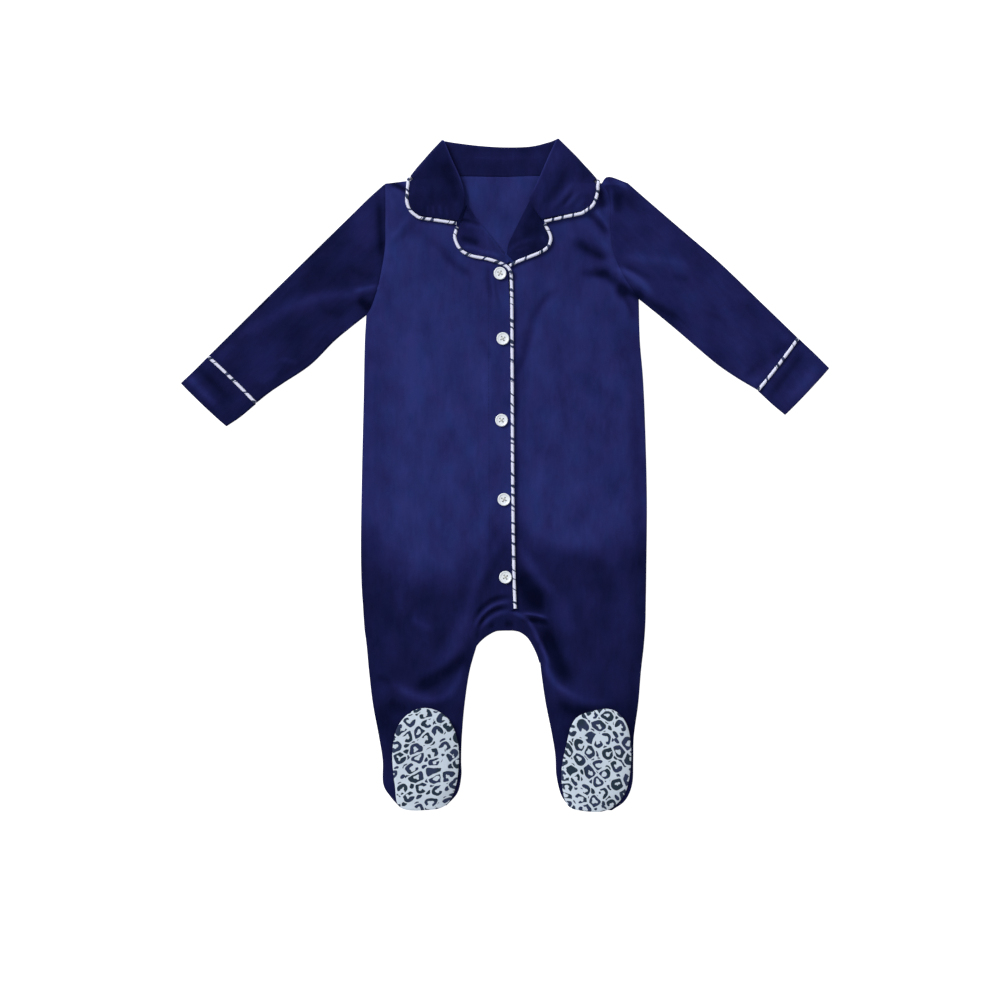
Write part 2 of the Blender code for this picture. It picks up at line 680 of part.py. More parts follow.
def turn_side(rows):
    """Direction in which the fall bulges at a shoulder turn: square to it, away from the middle."""
    run = rows[:, 4:6] - rows[:, 2:4]
    side = np.column_stack([run[:, 1], -run[:, 0]]) * np.where(rows[:, 4] < 0, 1.0, -1.0)[:, None]
    return side / np.linalg.norm(side, axis=1, keepdims=True)


def fall_point(rows, flat, share):
    """Fall of the collar: on the fronts, round the shoulder turns, or on the floor under the back."""
    x, y = flat[..., 0], flat[..., 1]
    above = leaf_height(x, y) + 2 * COLLAR_BULGE * (1.0 - ease((share - 0.2) / 0.6))
    below = np.full_like(above, WALL / 2)
    turn = np.radians(rows[:, 6])[:, None]
    bulge = (above - below) / 2 * np.sin(turn)
    height = (above + below) / 2 + (above - below) / 2 * np.cos(turn)
    return np.dstack([flat + turn_side(rows)[:, None] * bulge[..., None], height])


def collar(finish):
    """Collar in one piece: the stand from the neck seam to the roll, then the fall to the piped edge."""
    rows = collar_stations()
    seam, roll, edge = rows[:, None, 0:2], rows[:, None, 2:4], rows[:, None, 4:6]
    share = FALL_ACROSS[None, :, None]
    fall = fall_point(rows, roll * (1 - share) + edge * share, FALL_ACROSS[None, :])
    share = STAND_ACROSS[None, :, None]
    flat = seam * (1 - share) + roll * share
    x, y = flat[..., 0], flat[..., 1]
    behind = (1.0 - np.cos(np.radians(rows[:, 6])))[:, None] / 2
    height = leaf_height(x, y) * (1 - behind) + (COLLAR_LIFT + WALL / 2 - SEAM * STAND_ACROSS) * behind
    stand = np.dstack([flat, height])
    start, end = stand[:, -1], fall[:, 0]
    outward = 2 * rows[:, 2:4] - rows[:, 0:2] - rows[:, 4:6]
    outward = np.column_stack([outward, np.zeros(len(rows))])
    outward /= np.linalg.norm(outward, axis=1, keepdims=True)
    radius = np.linalg.norm(start - end, axis=1, keepdims=True) / 2
    bend = [
        (start + end) / 2 + (start - end) / 2 * math.cos(angle) + outward * radius * math.sin(angle)
        for angle in np.radians([45.0, 90.0, 135.0])
    ]
    middle = np.concatenate([stand, np.stack(bend, axis=1), fall], axis=1)
    return sheet("collar", middle, WALL, finish)


def piping_step(rows):
    """Step from the collar's edge to the middle of its piping. Round a shoulder turn it swings evenly."""
    along = np.gradient(rows[:, 4:6], axis=0)
    hand = np.where(rows[:, 6] > 90, -1.0, 1.0)[:, None]
    side = np.column_stack([-along[:, 1], along[:, 0]]) * hand
    turning = (rows[:, 6] > 0) & (rows[:, 6] < 180)
    turning |= np.roll(turning, 1) | np.roll(turning, -1)
    flat = np.flatnonzero(~turning)
    side[flat] /= np.linalg.norm(side[flat], axis=1, keepdims=True)
    places = np.arange(len(rows))
    side = np.column_stack([np.interp(places, flat, side[flat, axis]) for axis in (0, 1)])
    reach = PIPING / 2 + PIPING_GAP + TURN_ROOM * turning
    return side * (reach / np.linalg.norm(side, axis=1))[:, None]


def collar_piping(finish):
    """Piping along the collar's outer edge, from notch to notch round the back."""
    rows = collar_stations()
    beside = PIPING / 2 + PIPING_GAP
    ends = []
    for row in (rows[0], rows[-1]):
        along = (row[4:6] - row[2:4]) / np.linalg.norm(row[4:6] - row[2:4])
        down = np.array([along[1], -along[0]])
        down *= -np.sign(down[1])
        end = [row[2:4] * (1 - share) + row[4:6] * share + down * beside for share in (0.02, 0.3, 0.6, 0.96)]
        ends.append(end + [row[4:6] + (along + down) * beside / math.sqrt(2)])
    flat = np.vstack([ends[0], rows[:, 4:6] + piping_step(rows), ends[1][::-1]])
    turn = np.radians(np.pad(rows[:, 6], PIPING_END, mode="edge"))
    outward = np.pad(turn_side(rows), ((PIPING_END, PIPING_END), (0, 0)), mode="edge")
    above = upper_lapped(flat[:, 0], flat[:, 1]) + WALL + STACK + SEAM + PIPING / 2
    below = PIPING / 2
    bulge = ((above - below) / 2 + TURN_ROOM) * np.sin(turn)
    height = (above + below) / 2 + (above - below) / 2 * np.cos(turn)
    path = np.column_stack([flat + outward * bulge[:, None], height])
    return tube("collar_piping", path, PIPING, finish)


def lapel(name, table, over, curl_end, finish):
    """A turned-back lapel on its front, its roll curling down over the front's V edge above curl_end."""
    rows = spline(table, even(10))
    roll, edge = rows[:, 0:2], rows[:, 2:4]
    share = np.array([0.0, 0.2, 0.45, 0.75, 1.0])[None, :, None]
    flat = toward(roll, edge, LAPEL_CURL)[:, None] * (1 - share) + edge[:, None] * share
    flat = np.concatenate([roll[:, None], flat], axis=1)
    height = over(flat[..., 0], flat[..., 1]) + STACK + 0.2
    height[:, 0] -= LAPEL_DROP * ease((roll[:, 1] - curl_end) / 10.0)
    below = np.dstack([flat, height])
    above = np.dstack([flat, height + LAPEL_WALL])
    return wall(name, below, above, finish)


def edge_piping(name, flat, height, finish):
    """Piping on an edge, at given heights of its middle."""
    return tube(name, np.column_stack([flat, height]), PIPING, finish)


# ------------------------------------------------------------------ feet

def closed_outline(table, count):
    """A smooth closed outline through the table's points."""
    loop = np.asarray(table, float)
    turned = np.vstack([loop[-2:], loop, loop[:3]])
    share = 2 / (len(turned) - 1) + even(count + 1)[:-1] * len(loop) / (len(turned) - 1)
    return spline(turned, share)


def rings_inside(outline, scales):
    """Points on smaller copies of an outline, about its middle."""
    middle = outline.mean(axis=0)
    rings = [tuple(middle + (point - middle) * scale) for scale in scales for point in outline[::2]]
    return rings + [tuple(middle)]


def foot(side, sole_table, navy, print_cloth):
    """A foot folded up on the leg: the upper between, and the sole on top, toe end towards the body."""
    outline = closed_outline(sole_table, 40)
    heel, toe = outline[:, 1].min(), outline[:, 1].max()
    middle = outline.mean(axis=0)

    def sole_under(x, y):
        inward = ease(distance(x, y, np.vstack([outline, outline[:1]])) / SOLE_DOME_WIDTH)
        rise = TOE_RISE * ease((y - heel) / (toe - heel) * TOE_REACH)
        return upper(x, y) + WALL + STACK + rise + SOLE_DOME * inward

    plate(f"sole_{side}", outline, rings_inside(outline, (0.8, 0.5)),
          sole_under, lambda x, y: sole_under(x, y) + SOLE_WALL, print_cloth)

    ankle = heel + ANKLE * (toe - heel)
    shape = middle + (outline - middle) * FOOT_SCALE
    shape = shape[shape[:, 1] > ankle]

    def upper_under(x, y):
        rim = ease(1.0 - distance(x, y, np.vstack([outline, outline[:1]])) / FOOT_RIM)
        resting = upper(x, y) + WALL + STACK + FOOT_AIR
        return resting + rim * (sole_under(x, y) - STACK - WALL - resting)

    inside = [tuple(middle + (point - middle) * scale) for scale in (0.8, 0.55) for point in shape[1:-1]]
    start = np.argmax(np.linalg.norm(np.roll(shape, 1, axis=0) - shape, axis=1))
    shape = np.roll(shape, -start, axis=0)
    shape = np.vstack([shape, between(shape[-1], shape[0])])
    plate(f"foot_upper_{side}", shape, [p for p in inside if p[1] > ankle + 5.0],
          upper_under, lambda x, y: upper_under(x, y) + WALL, navy)


# ------------------------------------------------------------------ buttons

def button(name, place, height, finish):
    """A four-hole button with a raised rim and a dished middle."""
    def circle(radius, count, centre=(0.0, 0.0)):
        return [(centre[0] + radius * math.cos(math.tau * step / count),
                 centre[1] + radius * math.sin(math.tau * step / count)) for step in range(count)]

    def over(x, y):
        radius = np.hypot(x - place[0], y - place[1])
        dish = BUTTON_DISH * ease((BUTTON / 2 - BUTTON_RIM - radius) / BUTTON_SLOPE + 1.0)
        shoulder = BUTTON_EDGE * ease((radius - BUTTON / 2 + BUTTON_EDGE) / BUTTON_EDGE)
        return height + BUTTON_THICK - dish - shoulder

    shift = np.array(place)
    holes = [[tuple(shift + point) for point in circle(BUTTON_HOLE / 2, 6, centre)]
             for centre in circle(BUTTON_PITCH / math.sqrt(2), 4)]
    rings = (BUTTON / 2 - BUTTON_EDGE, BUTTON / 2 - BUTTON_RIM, BUTTON / 2 - BUTTON_RIM - BUTTON_SLOPE)
    inside = [tuple(shift + point) for radius in rings for point in circle(radius, 18)]
    outline = [tuple(shift + point) for point in circle(BUTTON / 2, 18)]
    return plate(name, outline, inside, lambda x, y: np.full(np.shape(x), height), over, finish, holes)


# ------------------------------------------------------------------ assembly

remove_old_objects()
NAVY = material("navy_velvet", (0.017, 0.020, 0.108), 0.85)
PRINT = material("leopard_velour", (0.62, 0.66, 0.74), 0.8)
WHITE = material("button_white", (0.85, 0.86, 0.88), 0.35)

right_rows = front_rows(YOKE_RIGHT, BODY_RIGHT, SEAT_RIGHT, LEG_RIGHT)
left_rows = front_rows(YOKE_LEFT, BODY_LEFT, SEAT_LEFT, LEG_LEFT)
back(right_rows, left_rows, NAVY)
front("front_right", right_rows, upper_lapped, NAVY)
front("front_left", left_rows, upper, NAVY)
gusset(NAVY)

sleeve("sleeve_right", columns(YOKE_RIGHT, 0, 2), SLEEVE_RIGHT, (-124.0, 255.0), NAVY)
sleeve("sleeve_left", columns(YOKE_LEFT, 0, 2), SLEEVE_LEFT, SLEEVE_CAP_LEFT[1], NAVY)
cuff("cuff_right", CUFF_RIGHT, NAVY)
cuff("cuff_left", CUFF_LEFT, NAVY)
cuff_piping("cuff_piping_right", SLEEVE_RIGHT[-1], CUFF_RIGHT[0], PRINT)
cuff_piping("cuff_piping_left", SLEEVE_LEFT[-1], CUFF_LEFT[0], PRINT)

collar(NAVY)
collar_piping(PRINT)
lapel("lapel_right", LAPEL_RIGHT, lambda x, y: upper_lapped(x, y) + WALL, 190.0, NAVY)
lapel("lapel_left", LAPEL_LEFT, lambda x, y: upper(x, y) + WALL, 216.0, NAVY)

lapel_line = spline(PIPING_LAPEL_RIGHT, even(22))
lapel_height = upper_lapped(*lapel_line.T) + WALL + STACK + PIPING / 2
placket_line = spline(PIPING_PLACKET, even(26))[1:]
placket_height = upper(*placket_line.T) + WALL + STACK + PIPING / 2
edge_piping("placket_piping", np.vstack([lapel_line, placket_line]),
            np.concatenate([lapel_height, placket_height]), PRINT)
left_line = spline(PIPING_LAPEL_LEFT, even(16))
edge_piping("lapel_piping_left", left_line, upper(*left_line.T) + WALL + STACK + PIPING / 2, PRINT)

foot("right", SOLE_RIGHT, NAVY, PRINT)
foot("left", SOLE_LEFT, NAVY, PRINT)

for number, spot in enumerate(BUTTONS, 1):
    around = np.array([(spot[0] + dx, spot[1] + dy) for dx in (-6, 0, 6) for dy in (-6, 0, 6)])
    ground = float(np.max(upper_lapped(*around.T))) + WALL + STACK
    button(f"button_{number}", spot, ground, WHITE)
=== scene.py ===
"""The looks of a baby's footed pajama in navy velvet with leopard-print piping and soles, laid flat.

Tables and sizes are in millimetres. The wearer's right is at -X, the collar at +Y, and the back lies on
the table at z = 0.
"""

import math
from functools import partial

import bpy
import numpy as np
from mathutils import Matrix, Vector, kdtree
from mathutils.geometry import delaunay_2d_cdt


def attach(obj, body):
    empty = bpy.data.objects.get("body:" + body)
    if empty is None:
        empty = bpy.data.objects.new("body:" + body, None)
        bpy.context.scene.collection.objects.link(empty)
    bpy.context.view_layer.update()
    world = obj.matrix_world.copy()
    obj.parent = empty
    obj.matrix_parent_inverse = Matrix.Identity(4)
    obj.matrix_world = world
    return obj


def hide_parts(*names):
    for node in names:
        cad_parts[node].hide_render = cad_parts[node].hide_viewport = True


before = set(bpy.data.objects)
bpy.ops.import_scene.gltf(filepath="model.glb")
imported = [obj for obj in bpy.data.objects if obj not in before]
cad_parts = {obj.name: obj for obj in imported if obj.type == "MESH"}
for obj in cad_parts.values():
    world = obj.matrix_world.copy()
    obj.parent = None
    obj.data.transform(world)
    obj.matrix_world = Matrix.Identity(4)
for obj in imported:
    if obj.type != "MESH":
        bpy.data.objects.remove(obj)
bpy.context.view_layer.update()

# ------------------------------------------------------------------ table, light and camera
# A matt white light table in an even white room, seen straight from above through a long lens. Soft light
# from the upper left and a weak one from the right bring out the folds.

MM = 0.001
VIEW_WIDTH = 920.0
VIEW_MIDDLE = (-4.6, -23.5)
LENS = 100.0
SENSOR = 36.0
ROOM_LIGHT = 0.46
TABLE_PAINT = (0.50, 0.50, 0.50, 1.0)
TABLE_GLOW = 0.9
TABLE_HALF = 3.0        # metres
WHITE = (1.0, 1.0, 1.0, 1.0)


def linked(name, data):
    """A new object in the scene."""
    item = bpy.data.objects.new(name, data)
    bpy.context.scene.collection.objects.link(item)
    return item


def material(name, inputs):
    """A new material, with some inputs of its shader set."""
    finish = bpy.data.materials.new(name)
    finish.use_nodes = True
    for label, value in inputs.items():
        finish.node_tree.nodes["Principled BSDF"].inputs[label].default_value = value
    return finish


def soft_light(name, place, spread, power):
    """An even light from one side of the sky, spread over an angle in degrees."""
    lamp = linked(name, bpy.data.lights.new(name, "SUN"))
    lamp.data.angle = math.radians(spread)
    lamp.data.energy = power
    lamp.location = place
    lamp.rotation_euler = (-Vector(place)).to_track_quat("-Z", "Y").to_euler()


camera = linked("camera", bpy.data.cameras.new("camera"))
camera.data.lens = LENS
camera.data.sensor_width = SENSOR
camera.location = (VIEW_MIDDLE[0] * MM, VIEW_MIDDLE[1] * MM, VIEW_WIDTH * LENS / SENSOR * MM)
bpy.context.scene.camera = camera
bpy.context.scene.view_settings.view_transform = "Standard"

room = bpy.data.worlds.new("white room")
room.use_nodes = True
room.node_tree.nodes["Background"].inputs["Strength"].default_value = ROOM_LIGHT
room.node_tree.nodes["Background"].inputs["Color"].default_value = WHITE
bpy.context.scene.world = room
soft_light("window", (-1.6, 1.4, 1.8), spread=28.0, power=2.75)
soft_light("side window", (1.9, 0.3, 1.9), spread=40.0, power=0.25)

floor_mesh = bpy.data.meshes.new("table")
corners = [(TABLE_HALF * x, TABLE_HALF * y, 0.0) for x, y in ((-1, -1), (1, -1), (1, 1), (-1, 1))]
floor_mesh.from_pydata(corners, [], [(0, 1, 2, 3)])
floor = linked("table", floor_mesh)
floor.location.z = -0.1 * MM
floor_mesh.materials.append(material("white table", {
    "Base Color": TABLE_PAINT, "Roughness": 0.9, "Emission Color": WHITE, "Emission Strength": TABLE_GLOW,
}))

# ------------------------------------------------------------------ back
# The back is one panel of navy velvet with both legs, flat on the table with its pile down. Its inner side
# shows in the neckline. The hidden part of the collar lies under it and lifts it at the neck.

WALL = 1.2              # velvet, pile included
STACK = 0.5             # between layers that lie on each other
LOFT = 1.8              # air between back and front, away from the side seams
ROUND = 12.0            # width over which the front rises from a side seam
CREASE_ROUND = 7.2      # width over which its creases fade out towards the seam
RIM = 0.35              # how far a cut edge rounds out
RIM_ANGLES = np.radians([45.0, 90.0, 135.0])
NECK_SETTLE = 26.0      # width over which the fronts come down to the back at the neckline
NECK_AIR = 0.25         # share of the air that is left there
EDGE = 3.0              # width over which panels bend towards each other at the outline
EDGE_DROP = 0.45
NECK_LIFT = 3.7         # the collar's fall and its piping, which lie under the back
LIFT_RAMP = 26.0
LIFT_REACH = 4.4        # from the hidden collar edge past its piping
SEAM = 0.15             # gap between two panels at a seam
BACK_GRID = (3.0, 1.8)  # step of the points within, and their distance from the edge
BACK_LEVEL = 0.81       # how pale its pile lies, from 0 to 1

# Rows of a front: the point on its outer edge (armhole, side seam, leg) and on its inner edge.
# columns: outer_x, outer_y, inner_x, inner_y
YOKE_RIGHT = [
    (-110.5, 267.0, -54.0, 272.5),
    (-110.0, 252.5, -47.5, 262.0),
    (-110.0, 229.5, -38.8, 246.2),
    (-110.5, 207.5, -27.7, 231.9),
    (-115.5, 178.0, -15.2, 215.6),
    (-122.0, 156.0, -5.2, 201.5),
    (-127.5, 146.5, 1.5, 189.5),
]
BODY_RIGHT = [
    (-127.5, 146.5, 1.5, 189.5),
    (-129.0, 119.0, 3.8, 152.0),
    (-130.0, 68.5, 4.4, 90.0),
    (-131.5, 4.0, 4.9, 10.0),
    (-132.5, -60.5, 5.6, -62.0),
    (-132.0, -98.5, 6.4, -100.0),
    (-130.5, -123.0, 7.2, -124.5),
]
SEAT_RIGHT = [
    (-130.5, -123.0, 7.2, -124.5),
    (-130.1, -130.0, -4.5, -127.0),
    (-129.6, -137.0, -13.5, -130.5),
    (-129.0, -144.0, -19.7, -135.5),
    (-128.0, -151.0, -23.2, -144.5),
    (-127.0, -159.5, -26.5, -156.0),
]
LEG_RIGHT = [
    (-127.0, -159.5, -26.5, -156.0),
    (-125.0, -181.5, -33.5, -181.0),
    (-121.5, -211.0, -38.0, -211.0),
    (-116.0, -240.5, -40.5, -240.5),
    (-112.5, -262.5, -41.2, -262.0),
    (-112.0, -284.5, -41.0, -277.0),
    (-105.0, -296.5, -44.5, -292.5),
    (-96.5, -306.0, -54.5, -304.0),
]
YOKE_LEFT = [
    (88.5, 267.0, 46.0, 266.8),
    (95.0, 258.0, 40.0, 260.5),
    (97.0, 243.0, 30.0, 252.0),
    (97.0, 226.0, 21.5, 240.0),
    (99.5, 205.0, 11.5, 223.5),
    (108.5, 183.5, 1.5, 204.5),
    (123.0, 161.5, -9.0, 186.5),
]
BODY_LEFT = [
    (123.0, 161.5, -9.0, 186.5),
    (124.0, 123.5, -13.0, 133.0),
    (127.0, 87.0, -13.0, 87.0),
    (129.0, 41.0, -13.0, 41.0),
    (130.5, -23.5, -13.0, -23.5),
    (130.0, -85.5, -13.0, -83.5),
    (129.5, -119.0, -11.0, -118.0),
]
SEAT_LEFT = [
    (129.5, -119.0, -11.0, -118.0),
    (129.4, -126.0, 6.5, -125.8),
    (129.3, -131.5, 13.0, -128.0),
    (129.1, -137.0, 19.7, -131.7),
    (128.8, -143.0, 25.2, -138.0),
    (128.3, -150.0, 28.0, -146.5),
    (127.5, -159.5, 31.3, -158.5),
]
LEG_LEFT = [
    (127.5, -159.5, 31.3, -158.5),
    (125.0, -181.5, 33.5, -181.0),
    (122.5, -211.0, 37.5, -209.0),
    (118.5, -240.5, 43.3, -238.0),
    (118.0, -262.5, 46.5, -258.0),
    (117.0, -284.5, 47.5, -276.5),
    (110.5, -299.5, 51.5, -293.5),
    (98.5, -308.5, 58.0, -304.0),
]

# Rows of a sleeve or cuff: across the flat tube from the upper edge over the middle to the lower edge.
# columns: over_x, over_y, mid_x, mid_y, under_x, under_y
SLEEVE_RIGHT = [
    (-137.5, 241.8, -145.0, 187.0, -141.5, 135.5),
    (-165.0, 215.0, -166.0, 162.0, -157.5, 122.0),
    (-192.5, 188.0, -188.0, 140.0, -179.0, 100.5),
    (-219.5, 161.5, -209.5, 117.0, -203.5, 84.0),
    (-246.5, 134.8, -230.5, 103.0, -216.0, 75.5),
    (-271.7, 109.9, -249.5, 89.5, -227.2, 66.7),
]
CUFF_RIGHT = [
    (-274.5, 107.0, -252.5, 86.5, -230.0, 63.7),
    (-286.5, 95.0, -266.0, 74.0, -243.5, 52.5),
    (-298.0, 84.2, -277.0, 63.5, -255.8, 44.3),
]
SLEEVE_LEFT = [
    (112.5, 268.0, 130.0, 207.0, 141.0, 147.0),
    (132.5, 250.5, 150.0, 190.0, 159.0, 132.0),
    (164.5, 223.0, 174.0, 168.0, 177.5, 116.0),
    (196.5, 195.5, 197.5, 146.0, 196.0, 100.5),
    (231.5, 162.0, 222.5, 125.0, 213.5, 88.5),
    (268.0, 126.9, 249.7, 102.1, 230.5, 78.4),
]
CUFF_LEFT = [
    (271.1, 124.1, 252.8, 99.3, 233.6, 75.6),
    (285.0, 111.0, 266.0, 87.0, 245.5, 64.5),
    (298.0, 98.0, 278.0, 76.0, 257.2, 54.8),
]
ROW_COUNTS = (64, 120, 26, 74)      # rows drawn in the yoke, body, seat and leg
SLEEVE_CAP_LEFT = [(89.0, 269.5), (95.0, 273.6), (103.0, 273.5)]
NECK_BACK = [(-54.0, 272.5), (-43.0, 273.4), (0.0, 273.0), (35.0, 273.4), (46.0, 266.8)]

# The gusset from the right leg to the left one: its seam with the fronts, and its fold at the crotch.
# columns: seam_x, seam_y, fold_x, fold_y
GUSSET = [
    (-26.2, -154.5, -27.0, -158.6),
    (-24.6, -149.0, -23.6, -154.6),
    (-22.4, -142.0, -19.6, -150.8),
    (-19.7, -135.5, -14.5, -147.2),
    (-13.5, -130.5, -8.5, -144.2),
    (-4.5, -127.0, -3.0, -143.6),
    (1.0, -125.8, 2.5, -143.5),
    (6.5, -125.8, 8.0, -143.6),
    (13.0, -128.0, 13.5, -144.8),
    (19.7, -131.7, 18.5, -148.0),
    (25.2, -138.0, 22.7, -152.6),
    (28.0, -146.5, 26.6, -159.4),
    (31.3, -158.5, 29.8, -166.6),
    (32.2, -166.0, 32.1, -173.4),
]
HIDDEN_EDGE = [
    (-83.0, 272.0), (-69.0, 264.0), (-37.0, 258.0), (0.0, 256.5), (36.0, 258.0), (67.0, 263.0), (80.2, 269.4),
]

# Creases in the upper layer, as soft ridges (height above 0) or troughs (below 0).
# columns: x0, y0, x1, y1, bow, height, half_width
CREASES = [
    # right sleeve and armhole
    (-115.5, 250, -113.5, 200, 0, -1.5, 3), (-138, 168, -115, 172, 0, 2.3, 2.5),
    (-132, 164, -186, 158, -3, 1.05, 5), (-178, 161, -240, 126, -3, 1.0, 7),
    (-134, 161, -124, 152, 0, -1.9, 4), (-142, 190, -121, 182, -2, -0.6, 4),
    (-172, 151, -146, 147, 0, -0.4, 4), (-205, 106, -190, 102, 0, 0.9, 2.5),
    (-224, 84, -208, 92, 0, 0.5, 4), (-178, 200, -160, 190, 0, -0.2, 9), (-150, 132, -164, 122, 0, 0.4, 4),
    (-246, 118, -262, 106, 0, 0.4, 5), (-282, 98, -254, 70, 0, -0.8, 4), (-291, 90, -262, 60, 0, 1.6, 3.6),
    # right front, from the shoulder to the placket
    (-109, 271, -86, 258, 0, -3.2, 2.8), (-112, 264, -101, 240, 1, 0.6, 4),
    (-80, 233, -106, 207, 1, -0.6, 3), (-84, 240, -105, 215, 0, 0.5, 2.5),
    (-72, 217, -50, 204, -1, -0.5, 4), (-58, 206, -27, 182, -3, -1.3, 4), (-45, 196, -20, 180, 0, 0.5, 4),
    (-17, 196, -12, 160, 0, -0.8, 2), (-13, 186, -9, 160, 0, 0.6, 1.6), (-10, 176, -3, 150, 0, -0.7, 1.8),
    (-22, 124, -12, 106, 0, -0.9, 3.5), (-28, 150, -20, 128, 0, 0.3, 4), (-74, 104, -78, 60, 0, 0.3, 9),
    (-24, 60, -20, 52, 0, -0.5, 3), (-10, 84, -14, 62, 0, 0.3, 4), (-40, 40, -34, -20, 1, -0.3, 6),
    (-30, 30, -24, -16, 1, 0.25, 5), (-12, -36, -8, -58, 0, -0.8, 4),
    # left front, from the shoulder to the placket
    (88, 266, 113, 262, 4, 3.0, 2.4), (87, 262, 91, 244, 0, -1.8, 4.6), (98, 262, 98, 238, 0, 1.4, 1.6),
    (105, 259, 105, 239, 0, -0.9, 4), (84, 243, 96, 224, 0, 1.3, 2.5), (77, 239, 95, 221, 1, -2.2, 2.9),
    (81, 225, 98, 203, 0, 1.0, 4), (65, 214, 94, 198, -1, -2.4, 5), (54, 224, 70, 214, 0, 0.4, 4),
    (70, 184, 96, 186, -1, -1.5, 4), (84, 188, 112, 167, 2, -2.6, 5.4), (104, 171, 127, 163, 0, -2.6, 4.4),
    (103, 168, 119, 142, 3, -1.5, 3.5), (108, 160, 116, 146, 0, 0.5, 2), (48, 170, 24, 136, -4, -1.1, 3.5),
    (25, 142, 12, 92, 1.5, -1.2, 4), (34, 146, 22, 112, 2, 0.35, 4), (11, 100, 11, 20, 0, -0.6, 3),
    (11, 24, 12, -62, 0, -0.8, 3), (84, 160, 86, 146, 0, -0.5, 4), (40, -36, 41, -50, 0, -0.6, 3),
    (50, 60, 64, -24, -2, 0.25, 12), (96, -10, 100, -40, 0, 0.3, 7), (118, 110, 124, -50, -2, -0.5, 5),
    # left sleeve
    (122, 165, 160, 143, 0, -1.2, 3.8), (104, 188, 134, 168, 2, 3.0, 3.2),
    (110, 191, 140, 178, 0, -0.9, 2.5), (106, 199, 168, 191, 2, 1.2, 4.5), (154, 182, 170, 178, 0, -1.0, 3),
    (120, 214, 152, 208, 0, 0.3, 6), (226, 82, 246, 100, -1, 1.0, 4), (222, 90, 236, 104, 0, -0.5, 2.5),
    (246, 110, 262, 118, 1, -0.9, 2.5), (253, 124, 262, 126, 0, 0.6, 3), (200, 104, 224, 96, 0, 0.5, 5),
    (222, 160, 236, 142, 0, -0.5, 4), (190, 158, 196, 140, 0, -0.3, 4), (274, 111, 243, 70, 0, -1.0, 3.5),
    (288, 98, 256, 62, 0, 1.1, 6),
    # crotch and legs
    (-8, -66, -30, -122, -4, 1.1, 6), (-30, -118, -60, -186, 3, 1.3, 9), (-12, -88, -27, -126, -2, -0.7, 4),
    (4, -112, -28, -134, -6, -1.3, 2.6), (4, -117, -27, -139, -6, 1.8, 2.2),
    (3, -122, -24, -140, -5, -1.3, 1.9), (4, -126, -22, -142, -4, 1.5, 2),
    (-14, -138, -10, -140, 0, -1.2, 3), (0, -137, 8, -138, 0, -1.2, 3), (14, -88, 34, -126, 0, -1.0, 7),
    (28, -104, 34, -124, 0, -0.5, 5), (12, -62, 48, -112, -3, 1.3, 5), (17, -128, 39, -132, 1, 2.6, 1.8),
    (18, -134, 40, -137, 1, -1.8, 2.2), (8, -127, 27, -143, 3, 2.2, 2), (26, -141, 41, -174, 0, 2.4, 2.2),
    (37, -140, 59, -190, -3, -1.7, 7), (37, -172, 62, -203, -5, 1.9, 3.5), (58, -202, 98, -210, -3, 0.8, 4),
    (50, -210, 80, -219, -3, -1.2, 5), (52, -112, 62, -150, 0, 0.9, 8), (90, -96, 94, -120, 0, -0.4, 7),
    (-80, -197, -36, -166, -2, -2.2, 6), (-102, -192, -60, -208, -4, 1.5, 4.4),
    (-62, -208, -38, -176, -6, 1.3, 4.4), (-86, -132, -66, -144, 0, 0.8, 4),
    (-97, -106, -93, -130, 0, 0.5, 6), (-118, -185, -104, -191, 0, -0.7, 3),
    (-106, -208, -90, -216, -2, -1.0, 5), (-76, -100, -50, -118, -2, -0.4, 9),
    (-101, -79, -111, -152, 2, -0.4, 7),
]
RIPPLES = 12            # slow waves over the whole cloth
RIPPLE_HEIGHT = 0.13
RIPPLE_LENGTHS = (24.0, 70.0)
GROOVE = 0.5            # depth of a seam
GROOVE_WIDTH = 1.5
GATHER = 7.0            # spacing of the small gathers along a seam
GATHER_DRIFT = 17.0     # length over which that spacing wanders
GATHER_HEIGHT = 0.20
GATHER_PLACE = 3.5      # their distance from the seam
GATHER_WIDTH = 2.2
CREASE_END = 0.15       # how far a crease runs on past its end points, as a share of its length
CREASE_FADE = 0.40      # share of its length over which it fades in and out

# The velvet's colours, from where its pile lies down to where it is brushed up, also used for painted shade
# and painted highlights, and its unevenness.
NAVY_DARK = (0.0005, 0.0014, 0.013, 1.0)
NAVY_MID = (0.0102, 0.0118, 0.0735, 1.0)
NAVY_LIGHT = (0.0203, 0.0272, 0.141, 1.0)
MID_TONE = 0.47
NAVY_COOL = (0.76, 1.06, 1.03, 1.0)     # the hue wanders between these two tints
NAVY_WARM = (1.24, 0.94, 0.97, 1.0)
CLOUDS = 0.95           # unevenness of the pile, in wide clouds, long streaks and single tufts
STREAKS = 0.26
PILE = 0.45
CREASE_SHADING = 0.20       # painted highlight on a ridge and painted shade in a trough, for each millimetre of its height
NAP_FLOOR = 0.02        # the darkest that the pile gets
NAP_SOFT = 0.09         # how softly it gets there
SIDE_DARK_WIDTH = 26.0         # darker towards the side seams over this width, down to a share
SIDE_DARK_SHARE = 0.86

# Where the brushed pale pile of the body ends above the legs, and the width over which it fades.
# columns: x, y, fade
BRUSH_END = [
    (-132, -48, 26), (-118, -66, 28), (-95, -94, 30), (-75, -98, 32), (-50, -90, 30), (-24, -74, 26),
    (0, -52, 24), (14, -52, 20), (30, -66, 12), (60, -69, 10), (86, -73, 12), (100, -68, 22),
    (112, -58, 26), (124, -54, 22), (132, -50, 20),
]
